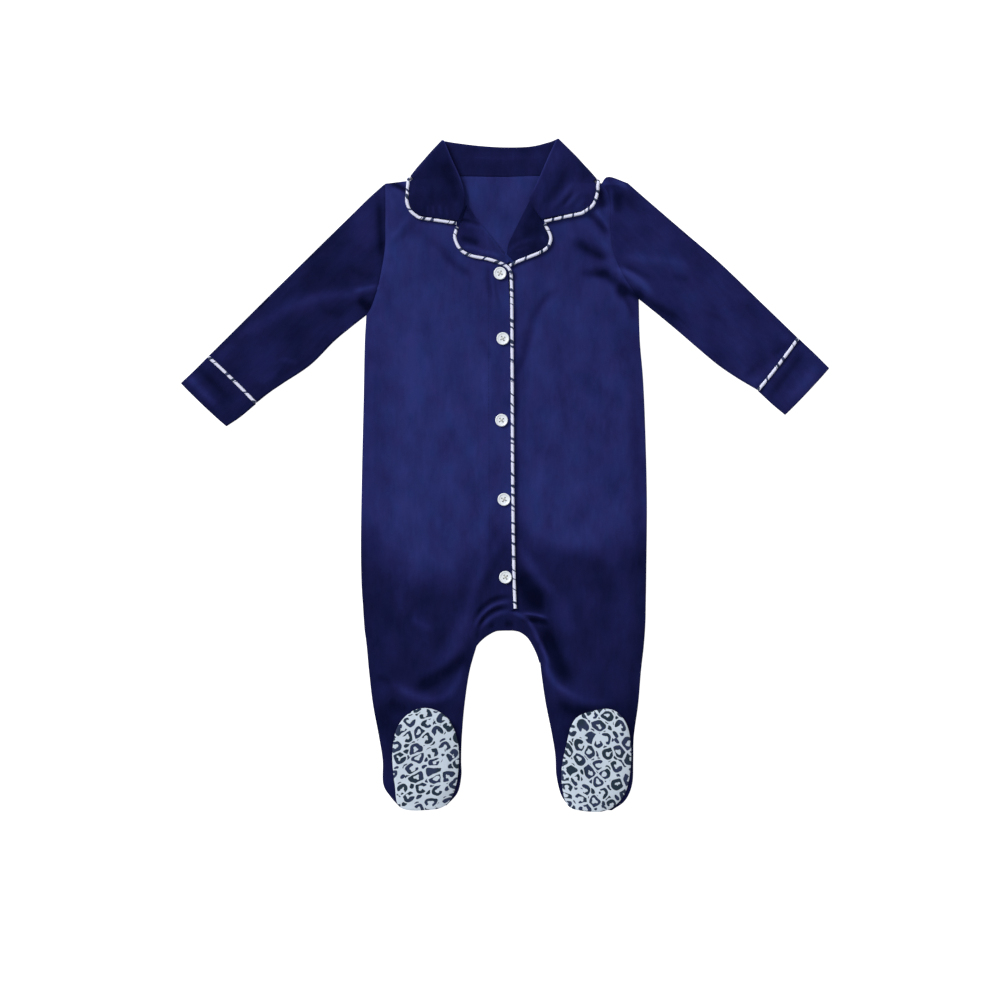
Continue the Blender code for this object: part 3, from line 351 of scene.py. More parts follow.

# Patches where the pile lies another way, and patches of painted shade, such as below the right lapel and
# below the piping of the right collar leaf.
# columns: x, y, reach, reach_across, turn, amount
PILE_AND_SHADE_PATCHES = [
    (-84, 60, 22, 75, 0, 0.09), (-90, 186, 14, 20, 0, 0.05), (-45, 30, 10, 60, 0, -0.03),
    (-6, 60, 14, 130, 0, -0.08), (14, 40, 5, 130, 0, -0.09), (120, 40, 9, 90, 0, -0.06),
    (-124, 30, 7, 90, 0, -0.05), (-112, -10, 14, 50, 0, -0.05), (-14, 178, 12, 26, 0, -0.09),
    (-3, 150, 7, 30, 0, -0.09), (-46, 197, 36, 14, -28, -0.19), (-84, 230, 26, 17, 0, -0.09),
    (64, 208, 30, 30, 0, -0.17), (86, 186, 14, 14, 0, -0.06), (56, 20, 30, 40, 0, -0.03),
    (22, -104, 12, 20, 20, -0.12), (88, -126, 22, 40, 0, 0.05), (20, -40, 8, 20, 0, -0.07),
    (-75, -214, 50, 9, 0, -0.09), (-112, -224, 16, 16, 0, -0.16), (76, -216, 40, 9, 0, -0.12),
    (121, -224, 8, 22, 0, -0.16), (-129, 226, 17, 32, 0, 0.19), (-172, 205, 18, 10, 45, -0.06),
    (-141, 141, 16, 10, 40, 0.17), (-204, 130, 30, 12, 38, -0.03), (-226, 104, 34, 24, 38, 0.09),
    (-250, 130, 24, 8, 43, -0.10), (-222, 82, 12, 8, 30, 0.08), (-244, 78, 14, 8, -45, 0.06),
    (200, 140, 45, 20, -43, 0.08), (103, 252, 20, 11, 0, -0.20), (46, -156, 9, 18, 25, -0.03),
    (24, -112, 14, 14, 0, -0.08), (161, 206, 15, 12, -45, -0.13), (116, 222, 14, 12, 0, 0.08),
    (240, 140, 14, 10, 0, -0.06), (132, 212, 22, 18, 0, 0.09), (112, 167, 16, 7, -35, -0.12),
    (142, 146, 16, 9, -40, -0.16), (-124, 146, 8, 16, 0, -0.12), (200, 102, 20, 8, -30, -0.08),
    (276, 84, 12, 8, 48, 0.04), (286, 102, 12, 8, 0, -0.07), (258, 62, 16, 10, 40, -0.12),
    (244, 108, 10, 8, 45, -0.06),
]


def columns(table, first, last):
    """Some columns of a table, as points."""
    return np.asarray(table, float)[:, first:last]


def even(count):
    """Positions at even steps from 0 to 1."""
    return np.linspace(0.0, 1.0, count)


def spline(table, positions):
    """Catmull-Rom curve through a table's rows, read at positions from 0 to 1 along its knots."""
    knots = np.asarray(table, float)
    padded = np.vstack([2 * knots[0] - knots[1], knots, 2 * knots[-1] - knots[-2]])
    place = np.asarray(positions, float) * (len(knots) - 1)
    span = np.minimum(place.astype(int), len(knots) - 2)
    t = (place - span)[:, None]
    a, b, c, d = (padded[span + shift] for shift in range(4))
    return b + 0.5 * t * (c - a + t * (2 * a - 5 * b + 4 * c - d + t * (3 * b - a - 3 * c + d)))


def ease(value):
    """Smooth step from 0 to 1."""
    value = np.clip(value, 0.0, 1.0)
    return value * value * (3.0 - 2.0 * value)


def quarter_round(away, width):
    """Fall from 1 at an edge to 0 at a width from it, along a quarter circle."""
    return 1.0 - np.sqrt(1.0 - (1.0 - np.clip(away / width, 0.0, 1.0)) ** 2)


def crowded(count, amount):
    """Positions from 0 to 1 that stand closer at both ends."""
    return (1.0 - amount) * even(count) + amount * ease(even(count))


def toward(start, end, reach):
    """Each start moved by reach along the line to its end."""
    step = end - start
    return start + reach * step / np.linalg.norm(step, axis=-1, keepdims=True)


def between(start, end, shares):
    """Rows of points from each start to its end, at shares of the way."""
    share = shares[None, :, None]
    return start[:, None] * (1.0 - share) + end[:, None] * share


def run_lengths(line):
    """How far along a line each of its points lies."""
    return np.r_[0.0, np.cumsum(np.linalg.norm(np.diff(line, axis=0), axis=1))]


def finder(lines):
    """A search tree over lines of points, and how far along its line each point lies."""
    points = np.vstack(lines)
    tree = kdtree.KDTree(len(points))
    for index, (x, y) in enumerate(points):
        tree.insert((x, y, 0.0), index)
    tree.balance()
    return tree, np.concatenate([run_lengths(line) for line in lines])


def nearest(place, x, y):
    """Distance from points to the finder's lines, and how far along them the nearest place is."""
    tree, along = place
    found = [tree.find((px, py, 0.0)) for px, py in zip(np.ravel(x), np.ravel(y))]
    index = np.array([item[1] for item in found])
    away = np.array([item[2] for item in found])
    return away.reshape(np.shape(x)), along[index].reshape(np.shape(x))


def fine(table, first=0, start=()):
    """Two columns of a table as a finely drawn curve, which may begin at points before them."""
    return spline([*start, *columns(table, first, first + 2)], even(161))


outline = finder([
    *(fine(table) for table in (BODY_RIGHT, SEAT_RIGHT, LEG_RIGHT, BODY_LEFT, SEAT_LEFT, LEG_LEFT)),
    *(fine(table, 2) for table in (LEG_RIGHT, LEG_LEFT, GUSSET)),
    fine(SLEEVE_RIGHT, 0, [YOKE_RIGHT[0][0:2]]), fine(SLEEVE_RIGHT, 4, [YOKE_RIGHT[-1][0:2]]),
    fine(SLEEVE_LEFT, 0, SLEEVE_CAP_LEFT), fine(SLEEVE_LEFT, 4, [YOKE_LEFT[-1][0:2]]),
    *(fine(table, first) for table in (CUFF_RIGHT, CUFF_LEFT) for first in (0, 4)),
    *(fine([table[0][0:2], table[0][2:4]]) for table in (YOKE_RIGHT, YOKE_LEFT)),
])
seams = finder([fine(table) for table in (YOKE_RIGHT, YOKE_LEFT, GUSSET)])
neckline = finder([fine(table, 2) for table in (YOKE_RIGHT, YOKE_LEFT)])
hidden_edge = finder([fine(HIDDEN_EDGE)])
chance = np.random.default_rng(11)
wave_turns = chance.uniform(0.0, math.tau, (RIPPLES, 2))
wave_lengths = chance.uniform(*RIPPLE_LENGTHS, RIPPLES)


def creased(table, x, y):
    """Sum of a table's creases: each fades out at its ends and may be bowed."""
    total = np.zeros(np.shape(x))
    for x0, y0, x1, y1, bow, height, half_width in table:
        length = math.hypot(x1 - x0, y1 - y0)
        run_x, run_y = (x1 - x0) / length, (y1 - y0) / length
        share = ((x - x0) * run_x + (y - y0) * run_y) / length
        aside = (y - y0) * run_x - (x - x0) * run_y - bow * 4.0 * share * (1.0 - share)
        fade = ease((CREASE_END + share) / CREASE_FADE) * ease((1.0 + CREASE_END - share) / CREASE_FADE)
        total += height * fade * np.exp(-(aside / half_width) ** 2)
    return total


def rippled(x, y):
    """Slow uneven waves, as in any cloth that has been laid down by hand."""
    total = np.zeros(np.shape(x))
    for (turn, start), length in zip(wave_turns, wave_lengths):
        total += np.sin((x * math.cos(turn) + y * math.sin(turn)) * math.tau / length + start)
    return RIPPLE_HEIGHT * total


def sewn(x, y):
    """The groove of the nearest seam and the small gathers beside it."""
    away, along = nearest(seams, x, y)
    gather = 0.5 + 0.5 * np.sin(along * math.tau / GATHER + 2.0 * np.sin(along / GATHER_DRIFT))
    return (GATHER_HEIGHT * gather * np.exp(-((away - GATHER_PLACE) / GATHER_WIDTH) ** 2)
            - GROOVE * np.exp(-(away / GROOVE_WIDTH) ** 2))


def lift(x, y):
    """How far the hidden part of the collar lifts the neck."""
    inside = y > np.interp(x, *np.transpose(HIDDEN_EDGE), left=np.inf, right=np.inf)
    away = np.where(inside, 0.0, nearest(hidden_edge, x, y)[0] - LIFT_REACH)
    return NECK_LIFT * ease(1.0 - away / LIFT_RAMP)


def upper(x, y):
    """Underside of the layer that lies on the back."""
    away, _ = nearest(outline, x, y)
    settled = NECK_AIR + (1.0 - NECK_AIR) * ease(nearest(neckline, x, y)[0] / NECK_SETTLE)
    air = ease(away / ROUND) * (LOFT + rippled(x, y)) * settled
    air += ease(away / CREASE_ROUND) * creased(CREASES, x, y) + ease(away / EDGE) * sewn(x, y)
    return WALL + STACK + lift(x, y) + np.maximum(0.0, air) - EDGE_DROP * quarter_round(away, EDGE)


def shell(name, top, bottom, faces, finish, pile_and_shade):
    """A closed wall of cloth between two sheets of points, its cut edges rounded. Its pile tone, with painted
    highlights and shade, is a value a point.
    """
    faces = np.asarray(faces)
    count, sides = len(top), faces.shape[1]
    normal = np.cross(top[faces[:, 1]] - top[faces[:, 0]], top[faces[:, 2]] - top[faces[:, 0]])
    if np.sum(normal * (top - bottom)[faces[:, 0]]) < 0:
        faces = faces[:, ::-1]
    edges = np.vstack([faces[:, [side, (side + 1) % sides]] for side in range(sides)])
    lone = ~np.isin(edges[:, 0] * count + edges[:, 1], edges[:, 1] * count + edges[:, 0])
    start, end = edges[lone].T
    ahead, behind = np.zeros(count, int), np.zeros(count, int)
    ahead[start], behind[end] = end, start
    middle, half = (top + bottom) / 2, (top - bottom) / 2
    out = np.cross(middle[ahead[start]] - middle[behind[start]], half[start])
    out /= np.linalg.norm(out, axis=1, keepdims=True) + 1e-12
    place = np.zeros(count, int)
    place[start] = np.arange(len(start))
    points, rings = [top, bottom], [start]
    for number, angle in enumerate(RIM_ANGLES):
        points.append(middle[start] + half[start] * math.cos(angle) + out * RIM * math.sin(angle))
        rings.append(2 * count + number * len(start) + np.arange(len(start)))
    rings.append(count + start)
    quads = []
    for near, far in zip(rings[:-1], rings[1:]):
        quads.append(np.column_stack([near, far, far[place[end]], near[place[end]]]))
    mesh = bpy.data.meshes.new(name)
    all_faces = faces.tolist() + (faces[:, ::-1] + count).tolist() + np.vstack(quads).tolist()
    mesh.from_pydata((np.vstack(points) * MM).tolist(), [], all_faces)
    pile_and_shade = NAP_FLOOR + (pile_and_shade - NAP_FLOOR + np.hypot(pile_and_shade - NAP_FLOOR, NAP_SOFT)) / 2
    values = np.concatenate([pile_and_shade, pile_and_shade, *[pile_and_shade[start]] * (len(rings) - 2)])
    mesh.attributes.new("pile_and_shade", "FLOAT", "POINT").data.foreach_set("value", values.astype(np.float32))
    mesh.shade_smooth()
    mesh.materials.append(finish)
    return linked(name, mesh)


def plate(name, outer, inside, under, thick, finish, pile_and_shade):
    """A laid piece with an outline: under(x, y) is its underside, and inside are points within it."""
    points = [Vector(point) for point in outer] + [Vector(point) for point in inside]
    flat, _, triangles, *_ = delaunay_2d_cdt(points, [], [list(range(len(outer)))], 2, 1e-4)
    x, y = np.array([tuple(point) for point in flat]).T
    bottom = np.column_stack([x, y, under(x, y)])
    faces = [list(face) for face in triangles]
    return shell(name, bottom + (0.0, 0.0, thick), bottom, faces, finish, pile_and_shade(x, y))


def add(tree, kind, inputs=None, **settings):
    """A node with its settings, and its inputs as values or as the sockets that feed them."""
    item = tree.nodes.new(kind)
    for name, value in settings.items():
        setattr(item, name, value)
    for name, value in (inputs or {}).items():
        if isinstance(value, bpy.types.NodeSocket):
            tree.links.new(value, item.inputs[name])
        else:
            item.inputs[name].default_value = value
    return item


def sums(tree, operation, *values):
    """The result of a Math node."""
    return add(tree, "ShaderNodeMath", dict(enumerate(values)), operation=operation).outputs["Value"]


def blended(tree, share, first, second):
    """The result of mixing two colours."""
    mix = add(tree, "ShaderNodeMix", data_type="RGBA")
    for name, value in (("Factor_Float", share), ("A_Color", first), ("B_Color", second)):
        socket = next(item for item in mix.inputs if item.identifier == name)
        if isinstance(value, bpy.types.NodeSocket):
            tree.links.new(value, socket)
        else:
            socket.default_value = value
    return next(item for item in mix.outputs if item.identifier == "Result_Color")


def marks(tree, name):
    """The values that a mesh stores point by point."""
    return add(tree, "ShaderNodeAttribute", attribute_name=name).outputs["Fac"]


def mapped(tree, place, scale=(1.0, 1.0, 1.0), turn=0.0):
    """A place scaled, and turned about z."""
    given = {"Vector": place, "Scale": scale, "Rotation": (0.0, 0.0, turn)}
    return add(tree, "ShaderNodeMapping", given).outputs["Vector"]


def noise(tree, place, scale, detail):
    """Soft noise about 0.5 at a place."""
    return add(tree, "ShaderNodeTexNoise", {"Vector": place, "Scale": scale, "Detail": detail}).outputs["Fac"]


def coloured(finish, colour, relief=None, strength=0.0, depth=0.0):
    """A material with its colour worked out by nodes, and fine bumps whose depth is in millimetres."""
    tree = finish.node_tree
    shader = tree.nodes["Principled BSDF"]
    tree.links.new(colour, shader.inputs["Base Color"])
    if relief is not None:
        bump = add(tree, "ShaderNodeBump", {"Height": relief, "Strength": strength, "Distance": depth * MM})
        tree.links.new(bump.outputs["Normal"], shader.inputs["Normal"])
    return finish


def velvet(name, turn=0.0):
    """Navy velvet with its pile laid at an angle: lighter where the pile stands up or a painted highlight
    lies, darker where it lies down or painted shade lies, with a soft sheen.
    """
    finish = material(name, {
        "Roughness": 0.9, "Specular IOR Level": 0.04, "Sheen Weight": 0.12, "Sheen Roughness": 0.35,
        "Sheen Tint": (0.10, 0.14, 0.90, 1.0),
    })
    tree = finish.node_tree
    place = add(tree, "ShaderNodeTexCoord").outputs["Object"]
    turned = mapped(tree, place, turn=turn)
    soft = mapped(tree, turned, (1.0, 0.62, 1.0))
    cloud = noise(tree, soft, 50.0, 3.0)
    streak = noise(tree, mapped(tree, turned, (1.0, 0.24, 1.0)), 330.0, 2.0)
    pile = noise(tree, place, 1900.0, 2.0)
    mottle = sums(tree, "MULTIPLY_ADD", streak, STREAKS, sums(tree, "MULTIPLY", cloud, CLOUDS))
    mottle = sums(tree, "SUBTRACT", mottle, (CLOUDS + STREAKS + PILE) / 2)
    mottle = sums(tree, "MULTIPLY_ADD", pile, PILE, mottle)
    # Each point's stored tone: the pile's own, with painted highlights and painted shade.
    pile_and_shade = marks(tree, "pile_and_shade")
    tone = {0: mottle, 1: sums(tree, "MULTIPLY_ADD", pile_and_shade, 0.85, 0.25), 2: pile_and_shade}
    tone = add(tree, "ShaderNodeMath", tone, operation="MULTIPLY_ADD", use_clamp=True)
    ramp = add(tree, "ShaderNodeValToRGB", {"Fac": tone.outputs["Value"]})
    ramp.color_ramp.elements[0].color = NAVY_DARK
    ramp.color_ramp.elements[1].color = NAVY_LIGHT
    ramp.color_ramp.elements.new(MID_TONE).color = NAVY_MID
    hue = add(tree, "ShaderNodeTexNoise", {"Vector": soft, "Scale": 95.0, "Detail": 1.0, "W": 7.0},
              noise_dimensions="4D").outputs["Fac"]
    tint = blended(tree, hue, NAVY_COOL, NAVY_WARM)
    colour = add(tree, "ShaderNodeVectorMath", {0: ramp.outputs["Color"], 1: tint}, operation="MULTIPLY")
    relief = sums(tree, "MULTIPLY_ADD", streak, 0.8, pile)
    return coloured(finish, colour.outputs["Vector"], relief, strength=0.25, depth=0.4)


def pile_with_shade(x, y, level):
    """How pale the pile lies at each point of a piece of cloth, with painted highlights on the creases'
    ridges, painted shade in their troughs, and the patches, some of pile laid another way and some of painted
    shade.
    """
    tone = level + CREASE_SHADING * creased(CREASES, x, y)
    for middle_x, middle_y, reach, across, turn, amount in PILE_AND_SHADE_PATCHES:
        angle = math.radians(turn)
        away_x = ((x - middle_x) * math.cos(angle) + (y - middle_y) * math.sin(angle)) / reach
        away_y = ((y - middle_y) * math.cos(angle) - (x - middle_x) * math.sin(angle)) / across
        tone = tone + amount * np.exp(-away_x ** 2 - away_y ** 2)
    return tone


def settle(piece, *nodes, slot="navy_velvet"):
    """Attach a finished piece to the root body, in place of its plain solids if it has any."""
    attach(piece, "root")
    if nodes:
        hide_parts(*nodes)


def back_side(x, y):
    """Underside of the back: flat on the table, bent up a little at its edges."""
    return lift(x, y) + EDGE_DROP * quarter_round(nearest(outline, x, y)[0], EDGE)


def front_rows(*tables):
    """Rows of a front or of half the back, from shoulder to heel."""
    first, *others = (spline(table, even(count)) for table, count in zip(tables, ROW_COUNTS))
    return np.vstack([first, *(rows[1:] for rows in others)])


right_rows = front_rows(YOKE_RIGHT, BODY_RIGHT, SEAT_RIGHT, LEG_RIGHT)
left_rows = front_rows(YOKE_LEFT, BODY_LEFT, SEAT_LEFT, LEG_LEFT)
crotch = toward(columns(GUSSET, 0, 2), columns(GUSSET, 2, 4), -SEAM)
back_outline = np.vstack([
    right_rows[:, 0:2] + (RIM, 0.0), right_rows[-1:1 - ROW_COUNTS[-1]:-2, 2:4], spline(crotch, even(41)),
    left_rows[2 - ROW_COUNTS[-1]::2, 2:4], left_rows[::-1, 0:2] - (RIM, 0.0),
    spline([left_rows[0, 0:2], left_rows[0, 2:4]], even(14))[1:-1],
    spline(NECK_BACK, even(45))[::-1], spline([right_rows[0, 2:4], right_rows[0, 0:2]], even(14))[1:-1],
])


def inner_points(loop, step, margin):
    """Points of an even grid that lie inside a loop, clear of it."""
    low, high = loop.min(axis=0), loop.max(axis=0)
    x, y = np.meshgrid(np.arange(low[0], high[0], step), np.arange(low[1], high[1], step))
    x, y = x.ravel(), y.ravel()
    inside = np.zeros(len(x), bool)
    for (x0, y0), (x1, y1) in zip(loop, np.roll(loop, -1, axis=0)):
        if y0 != y1:
            inside ^= ((y0 > y) != (y1 > y)) & (x < (x1 - x0) * (y - y0) / (y1 - y0) + x0)
    clear = nearest(finder([loop]), x, y)[0] > margin
    return list(zip(x[inside & clear], y[inside & clear]))


back = plate("back_panel", back_outline, inner_points(back_outline, *BACK_GRID), back_side, WALL,
             velvet("navy velvet, back"), lambda x, y: np.full_like(x, BACK_LEVEL))
settle(back, "back")

# ------------------------------------------------------------------ fronts
# Two fronts of the same velvet, each with its leg. The right one laps over the left one under the buttons.
# The pile of the body is brushed up and looks paler, and that of the legs lies down.

LAP_RISE = WALL + STACK + 0.2
LAP_EDGE = BODY_LEFT[2][2]      # the underlap's edge
LAP_RAMP = 11.0
LAP_END = 22.0
FRONT_COLUMNS = 84
CROWDED = 0.25          # how much closer these stand near the edges
PLACKET_TUCK = 0.6      # the right front's edge reaches to its piping
LEG_LEVEL = 0.27
RIGHT_LEVEL = 0.79
LEFT_LEVEL = 0.73


def lap(x):
    """How far the right front is lifted where it laps over the left one."""
    return LAP_RISE * ease((x - LAP_EDGE + LAP_RAMP) / (LAP_RAMP - 1.0)) * ease((LAP_END - x) / LAP_RAMP)


def upper_lapped(x, y):
    """Underside of the right front."""
    return upper(x, y) + lap(x)


def grid_faces(rows, across, ring=False):
    """Four-sided faces of a grid of points. ring joins its last column to its first."""
    row, column = np.meshgrid(np.arange(rows - 1), np.arange(across if ring else across - 1), indexing="ij")
    near, column = row.ravel() * across, column.ravel()
    beside = (column + 1) % across
    return np.column_stack([near + column, near + beside, near + across + beside, near + across + column])


def body_pile_and_shade(x, y, level):
    """Brushed pale over the body, dark down the legs, and darker near the sides, with painted highlights and
    painted shade on the creases and in some patches.
    """
    side = SIDE_DARK_SHARE + (1.0 - SIDE_DARK_SHARE) * ease(nearest(outline, x, y)[0] / SIDE_DARK_WIDTH)
    places, ends, fades = np.array(BRUSH_END, float).T
    fall = ease(0.5 + (y - np.interp(x, places, ends)) / (2.0 * np.interp(x, places, fades)))
    return pile_with_shade(x, y, (LEG_LEVEL + (level - LEG_LEVEL) * fall) * side)


def front(name, rows, under, tuck, level, finish):
    """One front: rows drawn across from its outer edge to its inner edge."""
    outer, inner = rows[:, 0:2], rows[:, 2:4]
    flat = between(toward(outer, inner, RIM), toward(inner, outer, -tuck), crowded(FRONT_COLUMNS, CROWDED))
    x, y = flat.reshape(-1, 2).T
    bottom = np.column_stack([x, y, under(x, y)])
    return shell(name, bottom + (0.0, 0.0, WALL), bottom, grid_faces(len(rows), FRONT_COLUMNS), finish,
                 body_pile_and_shade(x, y, level))


right_front = front("right_front", right_rows, upper_lapped, PLACKET_TUCK, RIGHT_LEVEL,
                    velvet("navy velvet, right front"))
settle(right_front, "front_right")
left_front = front("left_front", left_rows, upper, 0.0, LEFT_LEVEL, velvet("navy velvet, left front"))
settle(left_front, "front_left")

# ------------------------------------------------------------------ gusset
# A small diamond of velvet sewn into the crotch and folded over it, between the legs of front and back.

GUSSET_INSET = 1.3      # from its fold line back to where the bend begins
GUSSET_ROUND = 0.85     # how far the bend reaches out
GUSSET_LEVEL = 0.24
FOLD_ANGLES = np.radians([75.0, 45.0, 15.0, -15.0, -45.0, -75.0])


def folded(name, middle, thick, finish, pile_and_shade, ring=False):
    """A wall of even thickness about a grid of middle points, which may fold over. Its pile tone, with
    painted highlights and shade, is a value a point.
    """
    rows, across = middle.shape[:2]
    if ring:
        sideways = np.roll(middle, -1, axis=1) - np.roll(middle, 1, axis=1)
    else:
        sideways = np.gradient(middle, axis=1)
    normal = np.cross(np.gradient(middle, axis=0), sideways)
    normal *= thick / 2 / np.linalg.norm(normal, axis=2, keepdims=True)
    return shell(name, (middle + normal).reshape(-1, 3), (middle - normal).reshape(-1, 3),
                 grid_faces(rows, across, ring), finish, np.broadcast_to(pile_and_shade, (rows, across)).ravel())


rows = spline(GUSSET, even(56))
fold = toward(rows[:, 2:4], rows[:, 0:2], GUSSET_INSET)
seam = toward(rows[:, 0:2], fold, SEAM)
flat = between(seam, fold, even(10))
top = upper_lapped(flat[..., 0], flat[..., 1]) + WALL / 2
bottom = np.full_like(top, WALL / 2)
radius = (top[:, -1:] - bottom[:, -1:]) / 2
outward = (fold - seam) / np.linalg.norm(fold - seam, axis=1, keepdims=True)
reach = np.minimum(radius, GUSSET_ROUND) * np.cos(FOLD_ANGLES)
bend = np.dstack([fold[:, None] + outward[:, None] * reach[..., None],
                  (top[:, -1:] + bottom[:, -1:]) / 2 + radius * np.sin(FOLD_ANGLES)])
middle = np.concatenate([np.dstack([flat, top]), bend, np.dstack([flat, bottom])[:, ::-1]], axis=1)
gusset = folded("crotch_gusset", middle, WALL, velvet("navy velvet, gusset"),
                pile_with_shade(middle[..., 0], middle[..., 1], GUSSET_LEVEL))
settle(gusset, "gusset")

# ------------------------------------------------------------------ sleeves and cuffs
# Each sleeve is one piece of velvet sewn into a tube and pressed flat, and its cuff is a doubled band. The
# nap runs down the arm.

TUBE_COLUMNS = crowded(46, 0.4)
FOLD_INSET = 0.05       # a fold's bend stays this far inside the outline
CUFF_TUCK = 1.3         # sleeve and cuff reach under the piping between them
CAP_RIGHT = (-124.0, 255.0)
CAP_SHARES = even(16)[1:-1]
ARMHOLE_GAP = 0.2
NAP_RIGHT = math.radians(45.0)
NAP_LEFT = math.radians(-42.0)


def across_row(row, positions):
    """Points across a flat tube: a parabola through the row's upper, middle and lower points."""
    over, middle, under = row[0:2], row[2:4], row[4:6]
    t = positions[:, None]
    return over * (1 - t) * (1 - 2 * t) + middle * 4 * t * (1 - t) + under * t * (2 * t - 1)


def flat_tube(name, lines, finish, level):
    """A tube pressed flat: lines of points across it become rings, with round folds at both sides."""
    lines = np.array(lines)
    radius = (WALL + STACK) / 2
    inset = WALL / 2 + FOLD_INSET
    lines[:, 0] = toward(lines[:, 0], lines[:, -1], inset)
    lines[:, -1] = toward(lines[:, -1], lines[:, 0], inset)
    inner = lines.copy()
    inner[:, 0] = toward(lines[:, 0], lines[:, -1], radius)
    inner[:, -1] = toward(lines[:, -1], lines[:, 0], radius)
    above = np.dstack([inner, upper(inner[..., 0], inner[..., 1]) + WALL / 2])
    below = np.dstack([inner, np.full(inner.shape[:2], WALL / 2)])
    bends = []
    for side, angles in ((-1, FOLD_ANGLES), (0, FOLD_ANGLES[::-1])):
        step = lines[:, side] - inner[:, side]
        middle = (above[:, side] + below[:, side]) / 2
        half = (above[:, side, 2] - below[:, side, 2])[:, None] / 2
        bend = np.repeat(middle[:, None], len(angles), axis=1)
        bend[..., 0:2] += step[:, None] * np.cos(angles)[None, :, None]
        bend[..., 2] += half * np.sin(angles)
        bends.append(bend)
    middle = np.concatenate([above, bends[0], below[:, ::-1], bends[1]], axis=1)
    return folded(name, middle, WALL, finish, pile_with_shade(middle[..., 0], middle[..., 1], level), ring=True)


def sleeve(name, armhole, table, cap, finish, level):
    """A sleeve: its first ring follows the armhole, the rest come from the table."""
    lines = [across_row(row, TUBE_COLUMNS) for row in spline(table, even(70))]
    start = toward(spline(armhole, TUBE_COLUMNS), lines[0], ARMHOLE_GAP)
    caps = [start + (lines[0] - start) * share for share in CAP_SHARES]
    for line, upper_end in zip(caps, spline([armhole[0], cap, table[0][0:2]], CAP_SHARES)):
        line[0] = upper_end
    last = toward(lines[-1], lines[-2], -CUFF_TUCK)
    return flat_tube(name, [start, *caps, *lines, last], finish, level)


def cuff(name, table, finish, level):
    """A cuff band, tucked under the piping at its seam."""
    lines = [across_row(row, TUBE_COLUMNS) for row in spline(table, even(18))]
    return flat_tube(name, [toward(lines[0], lines[1], -CUFF_TUCK), *lines], finish, level)


right_sleeve = sleeve("right_sleeve", columns(YOKE_RIGHT, 0, 2), SLEEVE_RIGHT, CAP_RIGHT,
                      velvet("navy velvet, right sleeve", NAP_RIGHT), level=0.24)
settle(right_sleeve, "sleeve_right")
left_sleeve = sleeve("left_sleeve", columns(YOKE_LEFT, 0, 2), SLEEVE_LEFT, SLEEVE_CAP_LEFT[1],
                     velvet("navy velvet, left sleeve", NAP_LEFT), level=0.43)
settle(left_sleeve, "sleeve_left")
right_cuff = cuff("right_cuff", CUFF_RIGHT, velvet("navy velvet, right cuff", NAP_RIGHT), level=0.25)
settle(right_cuff, "cuff_right")
left_cuff = cuff("left_cuff", CUFF_LEFT, velvet("navy velvet, left cuff", NAP_LEFT), level=0.43)
settle(left_cuff, "cuff_left")

# ------------------------------------------------------------------ cuff piping
# Piping in the cuff seams: a bias strip of pale velour printed with leopard rosettes, sewn round a cord.

PIPING = 3.2            # width of the space that it is laid in
PIPING_CORD = 2.9       # thickness of the cord with its strip pulled tight
PIPING_LUMPS = 0.22     # how much that varies, as a share
PIPING_REPEAT = 9.0     # spacing of the dark breaks on the bias strip
CORD_SIDES = 12
CORD_STEP = 1.2
LUMPS_SCALE = 260.0
CUFF_PIPING_RISE = 0.7  # how far the ring stands above the cuff seam
CUFF_PIPING_INSET = 0.2
PIPING_GROUND = (0.70, 0.72, 0.90)
SOLE_INKS = ((0.014, 0.027, 0.046, 1.0), (0.023, 0.034, 0.080, 1.0))
PIPING_INKS = ((0.028, 0.040, 0.082, 1.0), (0.045, 0.056, 0.130, 1.0))


def print_cloth(name, repeat, squeeze=1.0):
    """Velour for a print, its node tree, and where on the cloth each point lies, in repeats of the print."""
    finish = material(name, {"Roughness": 0.85, "Specular IOR Level": 0.08, "Sheen Weight": 0.06})
    tree = finish.node_tree
    spot = add(tree, "ShaderNodeCombineXYZ", {"X": marks(tree, "along"), "Y": marks(tree, "around")})
    size = (squeeze / (repeat * MM), 1.0 / (repeat * MM), 1.0)
    spot = add(tree, "ShaderNodeVectorMath", {0: spot.outputs["Vector"], 1: size}, operation="MULTIPLY")
    return finish, tree, spot.outputs["Vector"]


def printed(finish, spot, ground, inks, drawn):
    """Finish a print: one of two dark inks where drawn is above 0, pale elsewhere, with short fibres."""
    tree = finish.node_tree
    shade = {"Value": noise(tree, spot, 0.7, 1.0), "From Min": 0.42, "From Max": 0.55}
    ink = blended(tree, add(tree, "ShaderNodeMapRange", shade).outputs["Result"], *inks)
    fibre = noise(tree, spot, 26.0, 2.0)
    cloth = blended(tree, fibre, (*(0.86 * part for part in ground), 1.0), (*ground, 1.0))
    colour = blended(tree, sums(tree, "GREATER_THAN", drawn, 0.0), cloth, ink)
    return coloured(finish, colour, fibre, strength=0.3, depth=0.3)


def cells(tree, place, scale, randomness, **settings):
    """Uneven cells about scattered points: what is known of the nearest one."""
    given = {"Vector": place, "Scale": scale, "Randomness": randomness}
    return add(tree, "ShaderNodeTexVoronoi", given, voronoi_dimensions="2D", **settings).outputs


